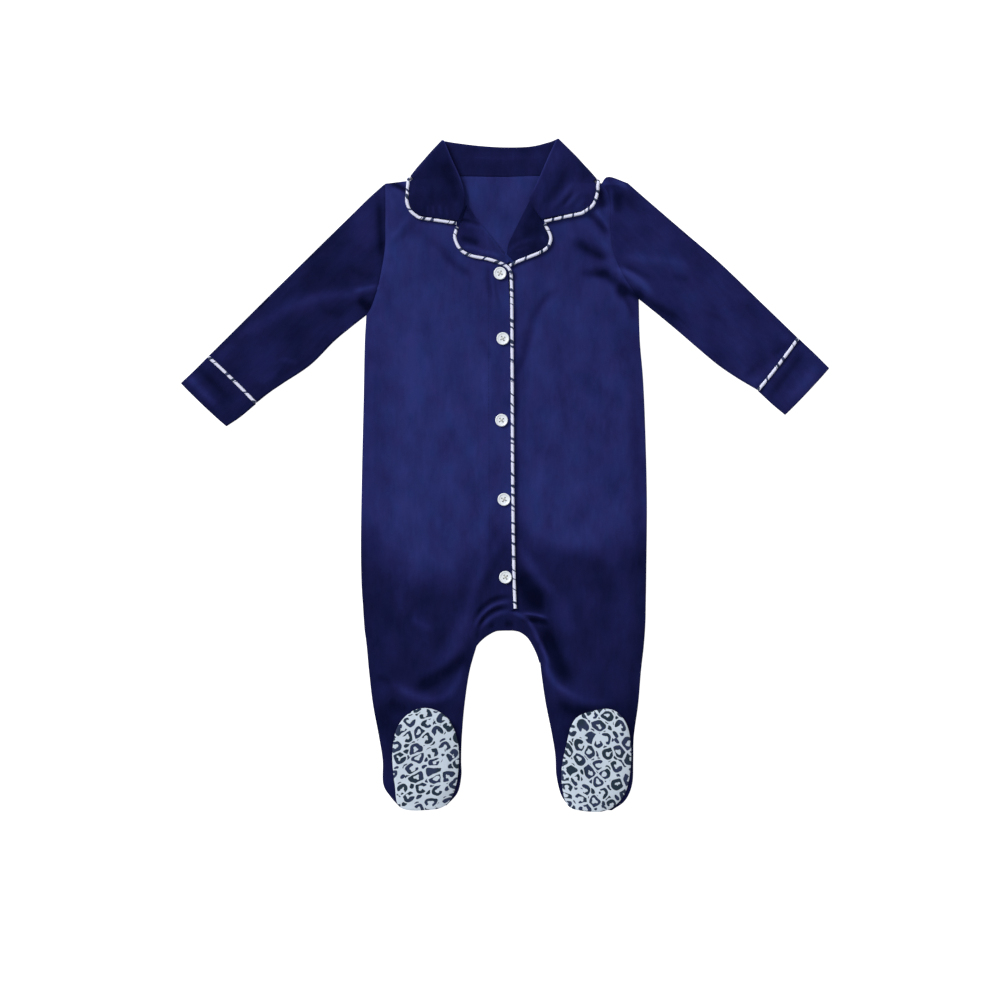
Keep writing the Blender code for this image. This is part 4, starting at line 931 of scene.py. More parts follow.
def leopard(name, repeat, ground, stroke, opening, blots):
    """Pale velour printed with dark broken rings, one to a cell a repeat across, and specks between them.

    stroke is the width of a ring's line as a share of the repeat. With an opening of 1 the rings are whole,
    and the lower it is the more is left out of them. blots is the share of solid spots.
    """
    finish, tree, spot = print_cloth(name, repeat, 0.84)
    number = partial(sums, tree)
    centre = cells(tree, spot, 1.0, 0.62)
    luck = add(tree, "ShaderNodeSeparateColor", {"Color": centre["Color"]}).outputs
    lumps = noise(tree, spot, 2.6, 0.5)

    # Lumpy ovals, each turned its own way. reach is 1 on an oval.
    offset = add(tree, "ShaderNodeVectorMath", {0: spot, 1: centre["Position"]}, operation="SUBTRACT")
    given = {"Vector": offset.outputs["Vector"], "Angle": number("MULTIPLY", luck["Green"], math.tau)}
    turned = add(tree, "ShaderNodeVectorRotate", given, rotation_type="Z_AXIS").outputs["Vector"]
    turned = add(tree, "ShaderNodeSeparateXYZ", {"Vector": turned}).outputs
    long = number("DIVIDE", turned["X"], number("MULTIPLY_ADD", luck["Blue"], 0.14, 0.29))
    wide = number("DIVIDE", turned["Y"], number("MULTIPLY_ADD", luck["Red"], 0.11, 0.23))
    reach = number("SQRT", number("ADD", number("MULTIPLY", long, long), number("MULTIPLY", wide, wide)))
    reach = number("MULTIPLY_ADD", lumps, 0.9, number("SUBTRACT", reach, 0.45))
    angle = number("ARCTAN2", turned["Y"], turned["X"])
    corners = number("COSINE", number("MULTIPLY", angle, 3.0))
    reach = number("MULTIPLY_ADD", corners, -0.12, reach)

    # Their lines, with two openings in each, or a solid spot.
    ring = number("MULTIPLY", number("ABSOLUTE", number("SUBTRACT", reach, 1.0)), 0.25)
    ring = number("SUBTRACT", number("MULTIPLY_ADD", lumps, 0.12, stroke / 2 - 0.06), ring)
    first = number("SUBTRACT", number("MULTIPLY_ADD", luck["Blue"], 0.7, opening),
                   number("COSINE", number("MULTIPLY_ADD", luck["Red"], 5.0, angle)))
    second = number("SUBTRACT", number("MULTIPLY_ADD", luck["Green"], 0.6, opening + 0.18),
                    number("COSINE", number("MULTIPLY_ADD", luck["Blue"], 9.0, angle)))
    whole = number("MULTIPLY", number("MINIMUM", first, second), 0.3)
    solid = number("GREATER_THAN", luck["Red"], 1.0 - blots)
    blot = number("MULTIPLY", solid, number("SUBTRACT", 0.80, reach))
    drawn = number("MAXIMUM", number("SMOOTH_MIN", ring, whole, 0.09), blot)

    # Pale gaps between the cells, and specks where no ring is near.
    border = cells(tree, spot, 1.0, 0.62, feature="DISTANCE_TO_EDGE")["Distance"]
    gap = number("MULTIPLY_ADD", lumps, 0.16, 0.005)
    drawn = number("SMOOTH_MIN", drawn, number("SUBTRACT", border, gap), 0.08)
    speck = cells(tree, mapped(tree, spot, (1.0, 1.5, 1.0), 0.7), 1.35, 0.8)["Distance"]
    speck = number("SUBTRACT", number("MULTIPLY_ADD", lumps, 0.40, 0.10), speck)
    clear = number("MULTIPLY", number("SUBTRACT", reach, 1.85), 0.4)
    drawn = number("MAXIMUM", drawn, number("SMOOTH_MIN", speck, clear, 0.12))
    return printed(finish, spot, ground, SOLE_INKS, drawn)


def piping_print(name):
    """The same print on the narrow strip: long pale runs, and short dark breaks across them at a slant."""
    finish, tree, spot = print_cloth(name, PIPING_REPEAT)
    number = partial(sums, tree)
    lumps = noise(tree, spot, 2.0, 1.0)
    place = add(tree, "ShaderNodeSeparateXYZ", {"Vector": spot}).outputs
    lane = number("MULTIPLY_ADD", place["Y"], 0.5, number("MULTIPLY_ADD", lumps, 0.3, place["X"]))
    breaks = add(tree, "ShaderNodeTexVoronoi", {"W": lane, "Scale": 1.0, "Randomness": 1.0},
                 voronoi_dimensions="1D").outputs
    luck = add(tree, "ShaderNodeSeparateColor", {"Color": breaks["Color"]}).outputs
    width = number("MULTIPLY_ADD", lumps, 0.10, number("MULTIPLY_ADD", luck["Red"], 0.18, -0.02))
    drawn = number("SUBTRACT", width, breaks["Distance"])
    return printed(finish, spot, PIPING_GROUND, PIPING_INKS, drawn)


def node_tree(name, sizes):
    """A node tree for shapes along paths, with its sizes as named inputs."""
    tree = bpy.data.node_groups.new(name, "GeometryNodeTree")
    tree.interface.new_socket("Path", in_out="INPUT", socket_type="NodeSocketGeometry")
    for size in sizes:
        tree.interface.new_socket(size, in_out="INPUT", socket_type="NodeSocketFloat")
    tree.interface.new_socket("Finish", in_out="INPUT", socket_type="NodeSocketMaterial")
    tree.interface.new_socket("Shape", in_out="OUTPUT", socket_type="NodeSocketGeometry")
    return tree, add(tree, "NodeGroupInput").outputs


def finish_tree(tree, shape, given):
    """The end of such a tree: smooth, one plain mesh with its finish."""
    smooth = add(tree, "GeometryNodeSetShadeSmooth", {"Geometry": shape}).outputs["Geometry"]
    whole = add(tree, "GeometryNodeRealizeInstances", {"Geometry": smooth}).outputs["Geometry"]
    dressed = add(tree, "GeometryNodeSetMaterial", {"Geometry": whole, "Material": given["Finish"]})
    add(tree, "NodeGroupOutput", {"Shape": dressed.outputs["Geometry"]})


def cord_tree():
    """A slightly lumpy cord along a path. along and around say where on the strip each point lies."""
    tree, given = node_tree("cord", ("Radius", "Step", "Lumps"))
    length = add(tree, "GeometryNodeSplineParameter").outputs["Length"]
    path = {"Curve": given["Path"], "Length": given["Step"]}
    path = add(tree, "GeometryNodeResampleCurve", path, mode="LENGTH")
    section = {"Resolution": CORD_SIDES, "Radius": given["Radius"]}
    section = add(tree, "GeometryNodeCurvePrimitiveCircle", section)
    path, section = (add(tree, "GeometryNodeStoreNamedAttribute", {
        "Geometry": line.outputs["Curve"], "Name": label, "Value": length,
    }).outputs["Geometry"] for line, label in ((path, "along"), (section, "around")))
    section = add(tree, "GeometryNodeTransform", {"Geometry": section, "Rotation": (0.0, 0.0, math.pi / 2)})
    lumps = add(tree, "ShaderNodeTexNoise", {"W": length, "Scale": LUMPS_SCALE}, noise_dimensions="1D")
    swell = sums(tree, "SUBTRACT", lumps.outputs["Fac"], 0.5)
    cord = add(tree, "GeometryNodeCurveToMesh", {
        "Curve": path, "Profile Curve": section.outputs["Geometry"], "Fill Caps": True,
        "Scale": sums(tree, "MULTIPLY_ADD", swell, given["Lumps"], 1.0),
    })
    finish_tree(tree, cord.outputs["Mesh"], given)
    return tree


def grown(tree, name, paths, closed=False, **sizes):
    """The plain mesh that a node tree makes along paths of points in millimetres. Sizes are in metres."""
    curve = bpy.data.curves.new(name, "CURVE")
    curve.dimensions = "3D"
    curve.twist_mode = "Z_UP"
    for path in paths:
        line = curve.splines.new("POLY")
        line.points.add(len(path) - 1)
        line.points.foreach_set("co", np.column_stack([np.asarray(path) * MM, np.ones(len(path))]).ravel())
        line.use_cyclic_u = closed
    source = linked(f"{name}_path", curve)
    maker = source.modifiers.new("maker", "NODES")
    maker.node_group = tree
    for item in tree.interface.items_tree:
        if item.in_out == "INPUT" and item.name in sizes:
            maker[item.identifier] = sizes[item.name]
    bpy.context.view_layer.update()
    mesh = bpy.data.meshes.new_from_object(source.evaluated_get(bpy.context.evaluated_depsgraph_get()))
    bpy.data.objects.remove(source)
    mesh.name = name
    return linked(name, mesh)


CORD = cord_tree()
PIPING_PRINT = piping_print("leopard piping")


def piping(name, node, path, closed=False):
    """Piping along a path, with its thickest lumps just clear of the table."""
    path[:, 2] = np.maximum(path[:, 2], PIPING_CORD / 2 * (1 + PIPING_LUMPS / 2))
    cord = grown(CORD, name, [path], closed, Radius=PIPING_CORD / 2 * MM, Step=CORD_STEP * MM,
                 Lumps=PIPING_LUMPS, Finish=PIPING_PRINT)
    settle(cord, node, slot="leopard_velour")


def cuff_piping(side, sleeve_table, cuff_table):
    """The piping ring in a cuff seam, round the flat tube."""
    line = across_row(np.add(sleeve_table[-1], cuff_table[0]) / 2, even(30))
    radius = PIPING / 2
    top = np.maximum(upper(line[:, 0], line[:, 1]) + WALL - radius + CUFF_PIPING_RISE, 3 * radius + STACK)
    line[0] = toward(line[0], line[-1], radius + CUFF_PIPING_INSET)
    line[-1] = toward(line[-1], line[0], radius + CUFF_PIPING_INSET)
    below = np.full(len(line), radius + 0.05)
    path = np.vstack([np.column_stack([line, top]), np.column_stack([line, below])[::-1]])
    piping(f"{side}_cuff_piping", f"cuff_piping_{side}", path, closed=True)


cuff_piping("right", SLEEVE_RIGHT, CUFF_RIGHT)
cuff_piping("left", SLEEVE_LEFT, CUFF_LEFT)

# ------------------------------------------------------------------ collar
# A notched pajama collar in one piece: a stand that shows its inner side at the back of the neck, rolled
# over into a fall whose two leaves lie on the fronts. The fall's back lies hidden under the back panel.

# Stations from the right front round the back to the left front: seam at the neck, roll, and outer edge.
# turn is 0 where the fall lies on the front, 180 where it is under the back.
# columns: seam_x, seam_y, roll_x, roll_y, edge_x, edge_y, turn
COLLAR_RIGHT_FRONT = [
    (-51.0, 238.5, -43.5, 233.0, -78.0, 238.0, 0),
    (-49.2, 243.0, -41.2, 239.0, -84.6, 243.4, 0),
    (-47.0, 249.0, -38.0, 246.5, -87.4, 250.6, 0),
    (-48.5, 258.0, -38.5, 257.0, -87.0, 259.0, 0),
    (-51.0, 266.0, -43.0, 272.5, -86.6, 265.0, 0),
    (-53.0, 270.0, -50.0, 288.0, -85.6, 269.2, 0),
    (-54.0, 274.5, -56.6, 304.3, -83.0, 272.0, 0),
]
COLLAR_BACK = [
    (-54.0, 274.5, -56.6, 304.3, -83.0, 272.0, 180),
    (-44.0, 274.5, -46.5, 302.6, -69.0, 264.0, 180),
    (-24.0, 274.2, -24.0, 299.8, -37.0, 258.0, 180),
    (0.0, 274.0, 0.0, 298.4, 0.0, 256.5, 180),
    (22.0, 274.2, 24.0, 299.2, 36.0, 258.0, 180),
    (37.0, 274.4, 41.0, 303.2, 67.0, 263.0, 180),
    (46.5, 270.5, 48.0, 305.9, 80.2, 269.4, 180),
]
COLLAR_LEFT_FRONT = [
    (46.5, 270.5, 48.0, 305.9, 80.2, 269.4, 0),
    (45.0, 268.0, 40.2, 288.5, 82.2, 267.0, 0),
    (42.0, 265.0, 33.2, 272.5, 82.6, 263.5, 0),
    (36.0, 259.5, 26.6, 258.8, 82.2, 259.0, 0),
    (33.5, 254.5, 23.9, 252.6, 80.8, 254.0, 0),
    (35.5, 249.0, 26.5, 246.8, 78.0, 248.0, 0),
    (42.0, 239.5, 35.0, 234.6, 69.5, 242.0, 0),
]
# columns: x0, y0, x1, y1, bow, height, half_width
COLLAR_CREASES = [
    (-71, 246, -70, 238, 0, 0.6, 1.3), (-66, 247, -65, 238, 0, 0.8, 1.2), (-60, 247, -58, 237, 0, 0.8, 1.4),
    (-54, 246, -52, 236, 0, 0.7, 1.3), (-48, 244, -46, 235, 0, 0.5, 1.3), (-47, 272, -44, 252, 0, -0.5, 4),
    (-45, 250, -41, 238, 0, 0.5, 3), (-56, 288, -50, 262, 0, -0.5, 7), (-80, 262, -72, 244, 2, 0.4, 6),
    (57, 278, 38, 248, 1, -1.0, 4), (64, 268, 44, 244, 0, 0.9, 2.5), (62, 258, 53, 246, 0, -1.0, 1.8),
    (68, 258, 57, 245, 0, 0.7, 2.2), (36, 268, 32, 248, 0, 0.7, 2.5), (50, 298, 44, 276, 0, 0.6, 4),
    (76, 272, 78, 256, 0, 0.4, 4), (74, 252, 66, 244, 0, 0.5, 2), (70, 286, 74, 268, 0, -0.4, 5),
    (-40, 291.5, 34, 291.5, -1, 0.3, 1.2), (-40, 283, -2, 283, 0, -0.35, 4),
    (-30, 277, 20, 277, 0, -0.2, 2), (-40, 299, 36, 299, -1, -0.5, 3),
]
COLLAR_AIR = 0.5
COLLAR_BULGE = 1.0      # how far the fall stands up beside its roll
COLLAR_TUCK = 0.9       # the fall reaches to its piping
STAND_SINK = 0.3        # the stand comes down this far towards its roll
STAND_ARCH = 0.7        # and bends up this far between its seam and the roll
LEAF_LEVEL_RIGHT = 0.20     # how pale the pile lies on each leaf and on the stand
LEAF_LEVEL_LEFT = 0.42
STAND_LEVEL = 0.32
ROLL_HIGHLIGHT_ROWS = 2.4         # rows of the roll with a painted highlight
PIPING_GAP = 1.0
PEAK_PRESSED = 0.65     # share by which the shoulder turns are pressed flat towards the roll
TURNS = np.arange(12.0, 179.0, 12.0)
FRONT_STATIONS = 44
BACK_STATIONS = 60
FALL_SHARES = np.r_[0.0, 0.03, 0.07, np.linspace(0.12, 1.0, 34)]
STAND_SHARES = even(18)
ROLL_ANGLES = np.radians([22.5, 45.0, 67.5, 90.0, 112.5, 135.0, 157.5])


def leaf_height(x, y):
    """Middle of a collar leaf, lying on the fronts."""
    return upper_lapped(x, y) + WALL + STACK + COLLAR_AIR + WALL / 2 + creased(COLLAR_CREASES, x, y)


def collar_stations():
    """Rows of the collar, with the turns at the shoulders drawn finely."""
    first = [(*COLLAR_BACK[0][:6], angle) for angle in TURNS]
    last = [(*COLLAR_BACK[-1][:6], angle) for angle in TURNS[::-1]]
    return np.vstack([
        spline(COLLAR_RIGHT_FRONT, even(FRONT_STATIONS)), first,
        spline(COLLAR_BACK, even(BACK_STATIONS)), last,
        spline(COLLAR_LEFT_FRONT, even(FRONT_STATIONS)),
    ])


def turn_side(rows):
    """Direction in which the fall bulges at a shoulder turn: square to it, away from the middle."""
    run = rows[:, 4:6] - rows[:, 2:4]
    side = np.column_stack([run[:, 1], -run[:, 0]]) * np.where(rows[:, 4] < 0, 1.0, -1.0)[:, None]
    return side / np.linalg.norm(side, axis=1, keepdims=True)


def turned(rows, flat, above, pressed):
    """Points that lie on the fronts, swing round the shoulder turns, or lie under the back."""
    turn = np.radians(rows[:, 6])[:, None]
    half = (above - WALL / 2) / 2
    bulge = half * (1.0 - pressed) * np.sin(turn)
    flat = flat + turn_side(rows)[:, None] * bulge[..., None]
    return np.dstack([flat, WALL / 2 + half * (1.0 + np.cos(turn))])


rows = collar_stations()
seam, roll = rows[:, 0:2], rows[:, 2:4]
front_share = (1.0 + np.cos(np.radians(rows[:, 6])))[:, None] / 2
flat = between(roll, toward(rows[:, 4:6], roll, -COLLAR_TUCK), FALL_SHARES)
above = leaf_height(flat[..., 0], flat[..., 1]) + 2 * COLLAR_BULGE * (1.0 - ease((FALL_SHARES - 0.2) / 0.6))
fall = turned(rows, flat, above, PEAK_PRESSED * (1.0 - FALL_SHARES))
flat = between(seam, roll, STAND_SHARES)
behind = NECK_LIFT + WALL / 2 - STAND_SINK * STAND_SHARES + STAND_ARCH * np.sin(math.pi * STAND_SHARES)
height = leaf_height(flat[..., 0], flat[..., 1]) * front_share + behind * (1.0 - front_share)
stand = np.dstack([flat, height])
start, end = stand[:, -1], fall[:, 0]
outward = np.column_stack([2 * roll - seam - rows[:, 4:6], np.zeros(len(rows))])
outward /= np.linalg.norm(outward, axis=1, keepdims=True)
radius = np.linalg.norm(start - end, axis=1, keepdims=True) / 2
bend = [(start + end) / 2 + (start - end) / 2 * math.cos(angle) + outward * radius * math.sin(angle)
        for angle in ROLL_ANGLES]
middle = np.concatenate([stand, np.stack(bend, axis=1), fall], axis=1)

# A painted highlight along the roll, where its bulge catches the light, strongest on the right leaf; the pile
# lies darker on the right, and the creases are painted paler on their ridges and darker in their troughs.
x, y = middle[..., 0], middle[..., 1]
roll_highlight = np.exp(-((np.arange(middle.shape[1]) - len(STAND_SHARES) - len(bend) / 2) / ROLL_HIGHLIGHT_ROWS) ** 2)
roll_highlight = roll_highlight * (0.40 + 0.65 * ease(-x / 20.0)) * ease((y - 248.0) / 22.0)
level = LEAF_LEVEL_RIGHT + (LEAF_LEVEL_LEFT - LEAF_LEVEL_RIGHT) * ease((x - 10.0) / 30.0) + roll_highlight
level = STAND_LEVEL + (level - STAND_LEVEL) * front_share + CREASE_SHADING * creased(COLLAR_CREASES, x, y)
collar = folded("collar_velvet", middle, WALL, velvet("navy velvet, collar"), level)
settle(collar, "collar")

# ------------------------------------------------------------------ collar piping
# The same piping all round the collar's outer edge, from notch to notch.

# Where it swings round a shoulder, from the front to under the back.
# columns: x, y, drop
SHOULDER_RIGHT = [
    (-89.0, 265.5, 0.0), (-88.9, 269.0, 0.10), (-88.4, 271.2, 0.35), (-87.2, 271.9, 0.62),
    (-85.6, 270.9, 0.88), (-83.6, 269.0, 1.0),
]
SHOULDER_LEFT = [
    (85.0, 264.5, 0.0), (85.6, 267.4, 0.10), (85.6, 269.2, 0.35), (84.8, 269.8, 0.62), (83.4, 268.9, 0.88),
    (81.4, 267.2, 1.0),
]
NOTCH_SHARES = np.array([[0.02], [0.3], [0.6], [0.8], [0.94]])
SHOULDER_GAP = 1.5      # the piping beside a leaf ends this far below these turns


def beside(points, side):
    """The middle of the piping, along the left (1) or right (-1) side of an edge."""
    run = np.gradient(points, axis=0)
    square = np.column_stack([-run[:, 1], run[:, 0]]) / np.linalg.norm(run, axis=1, keepdims=True)
    return points + side * (PIPING / 2 + PIPING_GAP) * square


def notch_end(row):
    """Piping along the end of a leaf, from the notch outward."""
    roll, edge = np.array(row[2:4]), np.array(row[4:6])
    along = (edge - roll) / np.linalg.norm(edge - roll)
    down = np.array([along[1], -along[0]]) * np.sign(along[0])
    return roll + (edge - roll) * NOTCH_SHARES + down * (PIPING / 2 + PIPING_GAP)


def on_fronts(line):
    """Piping lying on the fronts."""
    return np.column_stack([line, upper_lapped(*line.T) + WALL + STACK + 0.2 + PIPING / 2])


def round_shoulder(table, top):
    """Piping that swings down past the shoulder seam, from its height on the front."""
    x, y, drop = np.array(table).T
    return np.column_stack([x, y, top * (1.0 - drop) + PIPING / 2 * drop])


def leaf_line(table, shoulder):
    """The piping beside a leaf's edge, up to the shoulder."""
    line = beside(spline(columns(table, 4, 6), even(40)), 1)
    return line[line[:, 1] < shoulder[0][1] - SHOULDER_GAP]


right_line = on_fronts(np.vstack([
    notch_end(COLLAR_RIGHT_FRONT[0]), leaf_line(COLLAR_RIGHT_FRONT, SHOULDER_RIGHT),
]))
left_line = on_fronts(np.vstack([
    leaf_line(COLLAR_LEFT_FRONT, SHOULDER_LEFT), notch_end(COLLAR_LEFT_FRONT[-1])[::-1],
]))
hidden_line = beside(spline(columns(COLLAR_BACK, 4, 6), even(50)), -1)[3:-3]
path = np.vstack([
    right_line, round_shoulder(SHOULDER_RIGHT, right_line[-1, 2]),
    np.column_stack([hidden_line, np.full(len(hidden_line), PIPING / 2)]),
    round_shoulder(SHOULDER_LEFT, left_line[0, 2])[::-1], left_line,
])
piping("collar_edge_piping", "collar_piping", spline(path, even(420)))

# ------------------------------------------------------------------ lapels and placket
# The front facings turn back at the neckline as two small lapels with piped edges. The right one's piping
# runs on down the front edge to the crotch.

# A lapel from the notch to the break: the roll at the neckline, and the piped edge.
# columns: roll_x, roll_y, edge_x, edge_y
LAPEL_RIGHT = [
    (-34.6, 247.0, -39.3, 233.2),
    (-32.0, 243.5, -42.4, 226.0),
    (-27.0, 236.0, -43.8, 217.5),
    (-20.5, 228.0, -40.5, 209.8),
    (-14.5, 220.0, -29.3, 202.6),
    (-8.0, 211.8, -17.5, 200.5),
    (-1.5, 203.2, -6.0, 197.2),
    (3.6, 195.6, 1.6, 193.4),
]
LAPEL_LEFT = [
    (24.5, 253.5, 33.4, 232.0),
    (21.6, 248.5, 37.6, 222.5),
    (17.0, 239.5, 39.8, 216.0),
    (11.6, 229.0, 37.3, 210.0),
    (6.8, 219.0, 30.5, 205.6),
    (3.0, 210.5, 19.0, 200.8),
    (2.0, 202.5, 9.0, 195.6),
]
PIPING_LAPEL_RIGHT = [
    (-44.1, 227.0), (-45.0, 223.5), (-46.1, 217.5), (-42.8, 209.0), (-37.5, 203.6), (-29.5, 200.2),
    (-17.7, 198.0), (-5.5, 194.4), (2.5, 190.0), (5.6, 184.5),
]
PIPING_PLACKET = [
    (5.6, 184.5), (6.2, 160.0), (6.6, 90.0), (7.0, 5.0), (7.7, -62.0), (8.4, -98.0), (9.3, -123.0),
]
PIPING_LAPEL_LEFT = [
    (36.3, 230.0), (40.4, 222.5), (42.0, 216.0), (39.0, 208.5), (31.5, 203.4), (19.6, 198.6), (10.6, 195.0),
    (4.3, 191.5),
]
# columns: x0, y0, x1, y1, bow, height, half_width
LAPEL_CREASES = [
    (-38, 208, -20, 204, 1, 1.2, 2.8), (-22, 204, -3, 200, 0, 1.3, 2.6), (-40, 217, -24, 212, 0, -1.2, 3),
    (-42, 234, -21, 230.5, 0, -1.2, 1.6), (-34, 246, -26, 235, 0, -1.5, 5), (-36, 228, -20, 226, 0, 0.6, 2),
    (16, 222, 34, 226, 0, -0.6, 6), (2, 205, 26, 216, 1, 0.7, 2.5), (10, 205, 22, 208, 0, 0.6, 2),
    (34, 219, 38, 212, 0, 0.5, 2), (26, 240, 16, 226, 0, -0.4, 4),
]
LAPEL_WALL = 1.6
LAPEL_THIN = 0.9        # how much thinner it is pressed along the roll
LAPEL_CURL = 7.0        # width beside the roll that is pressed down, and how far
LAPEL_DROP = 2.8
LAPEL_SHARES = np.r_[even(8) * 0.12, np.linspace(0.16, 1.0, 22)]
LAPEL_ROLL_HIGHLIGHT = 1.6        # width of the painted highlight along the roll, and of the paler cloth beside it
ROLL_WIDTH = 16.0


def lapel(name, table, over, curl_end, finish, level, roll_level):
    """A lapel turned back on its front, whose underside is over. Its roll is pressed down above curl_end."""
    rows = spline(table, even(60))
    roll = rows[:, 0:2]
    flat = between(roll, toward(rows[:, 2:4], roll, -0.5), LAPEL_SHARES)
    x, y = flat[..., 0], flat[..., 1]
    away = np.linalg.norm(flat - roll[:, None], axis=2)
    near = 1.0 - np.clip(away / LAPEL_CURL, 0.0, 1.0)
    curl = near ** 1.6 * ease((rows[:, None, 1] - curl_end) / 10.0)
    creases = creased(LAPEL_CREASES, x, y)
    sunk = creases * (1.0 - near) ** 2 - LAPEL_DROP * curl
    bottom = np.dstack([flat, over(x, y) + WALL + STACK + 0.2 + sunk])
    top = bottom + np.dstack([0.0 * x, 0.0 * y, LAPEL_WALL - LAPEL_THIN * curl])
    # Paler towards the roll, with a painted highlight right along it that offsets the shade of its downward
    # curl; the creases are painted paler on ridges and darker in troughs.
    roll_highlight = ease(1.0 - away / ROLL_WIDTH) + np.exp(-(away / LAPEL_ROLL_HIGHLIGHT) ** 2)
    pile_and_shade = level + (roll_level - level) * roll_highlight + CREASE_SHADING * creases
    return shell(name, top.reshape(-1, 3), bottom.reshape(-1, 3), grid_faces(*x.shape), finish, pile_and_shade.ravel())


right_lapel = lapel("right_lapel", LAPEL_RIGHT, upper_lapped, curl_end=190.0,
                    finish=velvet("navy velvet, right lapel"), level=0.32, roll_level=0.54)
settle(right_lapel, "lapel_right")
left_lapel = lapel("left_lapel", LAPEL_LEFT, upper, curl_end=216.0,
                   finish=velvet("navy velvet, left lapel"), level=0.17, roll_level=0.20)
settle(left_lapel, "lapel_left")


def laid(line, over):
    """Piping laid on a front whose underside is over."""
    return np.column_stack([line, over(*line.T) + WALL + STACK + PIPING / 2])


piping("placket_edge_piping", "placket_piping", np.vstack([
    laid(spline(PIPING_LAPEL_RIGHT, even(120)), upper_lapped),
    laid(spline(PIPING_PLACKET, even(260))[1:], upper),
]))
piping("left_lapel_edge_piping", "lapel_piping_left", laid(spline(PIPING_LAPEL_LEFT, even(90)), upper))

# ------------------------------------------------------------------ feet
# The feet fold up over the legs with their soles showing: soles of the leopard print velour, and between
# sole and leg the navy upper of the foot.

SOLE_RIGHT = [
    (-73.5, -214.5), (-59.5, -218.5), (-49.5, -228.5), (-43.5, -247.0), (-42.8, -266.0), (-46.0, -288.0),
    (-54.5, -303.5), (-71.0, -307.8), (-96.0, -305.6), (-100.8, -285.0), (-103.0, -257.0), (-99.0, -233.5),
    (-87.5, -219.0),
]
SOLE_LEFT = [
    (92.0, -215.3), (71.5, -220.0), (62.0, -228.5), (57.0, -246.0), (52.4, -270.0), (53.3, -290.0),
    (58.5, -304.5), (71.0, -308.5), (90.0, -309.0), (103.0, -302.0), (112.0, -287.0), (115.5, -258.0),
    (112.5, -233.0), (104.0, -219.5),
]
SOLE_WALL = 1.5
SOLE_DOME = 0.9
SOLE_DOME_WIDTH = 14.0
SOLE_TURN = 0.5         # how far the sole's edge turns down into its seam
SOLE_TURN_WIDTH = 2.5
SOLE_REPEAT = 11.3
TOE_RISE = 3.6          # how far the toe end stands above the heel end
TOE_REACH = 1.15
SOLE_GRID = (1.2, 0.7)  # step of the points within, and their distance from the edge
ANKLE = 0.42            # where the foot's upper begins, as a share from heel to toe
FOOT_SCALE = 0.94       # its outline, as a share of the sole's
FOOT_RIM = 9.0          # width over which it rises to the sole's edge
FOOT_AIR = 0.3
FOOT_GRID = (2.0, 1.2)
FOOT_LEVEL = 0.12
SOLE_GROUND = (0.54, 0.62, 0.72)


def closed_spline(table, count):
    """A smooth closed outline through the table's points."""
    loop = np.asarray(table, float)
    longer = np.vstack([loop[-2:], loop, loop[:3]])
    share = 2 / (len(longer) - 1) + even(count + 1)[:-1] * len(loop) / (len(longer) - 1)
    return spline(longer, share)


def marked(piece, origin, turn):
    """Store where on the print cloth each point of a flat piece lies."""
    points = np.zeros(len(piece.data.vertices) * 3, np.float32)
    piece.data.vertices.foreach_get("co", points)
    x, y = (points.reshape(-1, 3)[:, 0:2] - np.array(origin) * MM).T
    along = x * math.cos(turn) + y * math.sin(turn)
    around = y * math.cos(turn) - x * math.sin(turn)
    for name, values in (("along", along), ("around", around)):
        piece.data.attributes.new(name, "FLOAT", "POINT").data.foreach_set("value", values.astype(np.float32))


def foot(side, table, origin, turn):
    """A foot folded up on its leg: the upper between, and the sole on top, toe end towards the body."""
    loop = closed_spline(table, 150)
    rim = finder([np.vstack([loop, loop[:1]])])
    heel, toe = loop[:, 1].min(), loop[:, 1].max()
    middle = loop.mean(axis=0)

    def sole_under(x, y):
        away = nearest(rim, x, y)[0]
        rise = TOE_RISE * ease((y - heel) / (toe - heel) * TOE_REACH)
        dome = SOLE_DOME * ease(away / SOLE_DOME_WIDTH) - SOLE_TURN * quarter_round(away, SOLE_TURN_WIDTH)
        return upper(x, y) + WALL + STACK + rise + dome

    sole = plate(f"{side}_sole", loop, inner_points(loop, *SOLE_GRID), sole_under, SOLE_WALL, SOLE_PRINT,
                 lambda x, y: np.zeros_like(x))
    marked(sole, origin, turn)
    settle(sole, f"sole_{side}", slot="leopard_velour")

    ankle = heel + ANKLE * (toe - heel)
    shape = middle + (loop - middle) * FOOT_SCALE
    shape = shape[shape[:, 1] > ankle]
    start = np.argmax(np.linalg.norm(np.roll(shape, 1, axis=0) - shape, axis=1))
    shape = np.roll(shape, -start, axis=0)
    shape = np.vstack([shape, spline([shape[-1], shape[0]], even(30))[1:-1]])

    def upper_under(x, y):
        near = ease(1.0 - nearest(rim, x, y)[0] / FOOT_RIM)
        resting = upper(x, y) + WALL + STACK + FOOT_AIR
        return resting + near * (sole_under(x, y) - STACK - WALL - resting)

    foot_upper = plate(f"{side}_foot_upper", shape, inner_points(shape, *FOOT_GRID), upper_under, WALL,
                       velvet(f"navy velvet, {side} foot"), lambda x, y: np.full_like(x, FOOT_LEVEL))
    settle(foot_upper, f"foot_upper_{side}")


SOLE_PRINT = leopard("leopard sole", SOLE_REPEAT, SOLE_GROUND, stroke=0.242, opening=0.70, blots=0.07)
foot("right", SOLE_RIGHT, origin=(-60.0, -200.0), turn=0.6)
foot("left", SOLE_LEFT, origin=(300.0, 150.0), turn=-0.9)

# ------------------------------------------------------------------ topstitching
# Rows of navy thread: beside the front edge where the facing is sewn down, on the collar's stand, and along
# the seams of the cuffs.

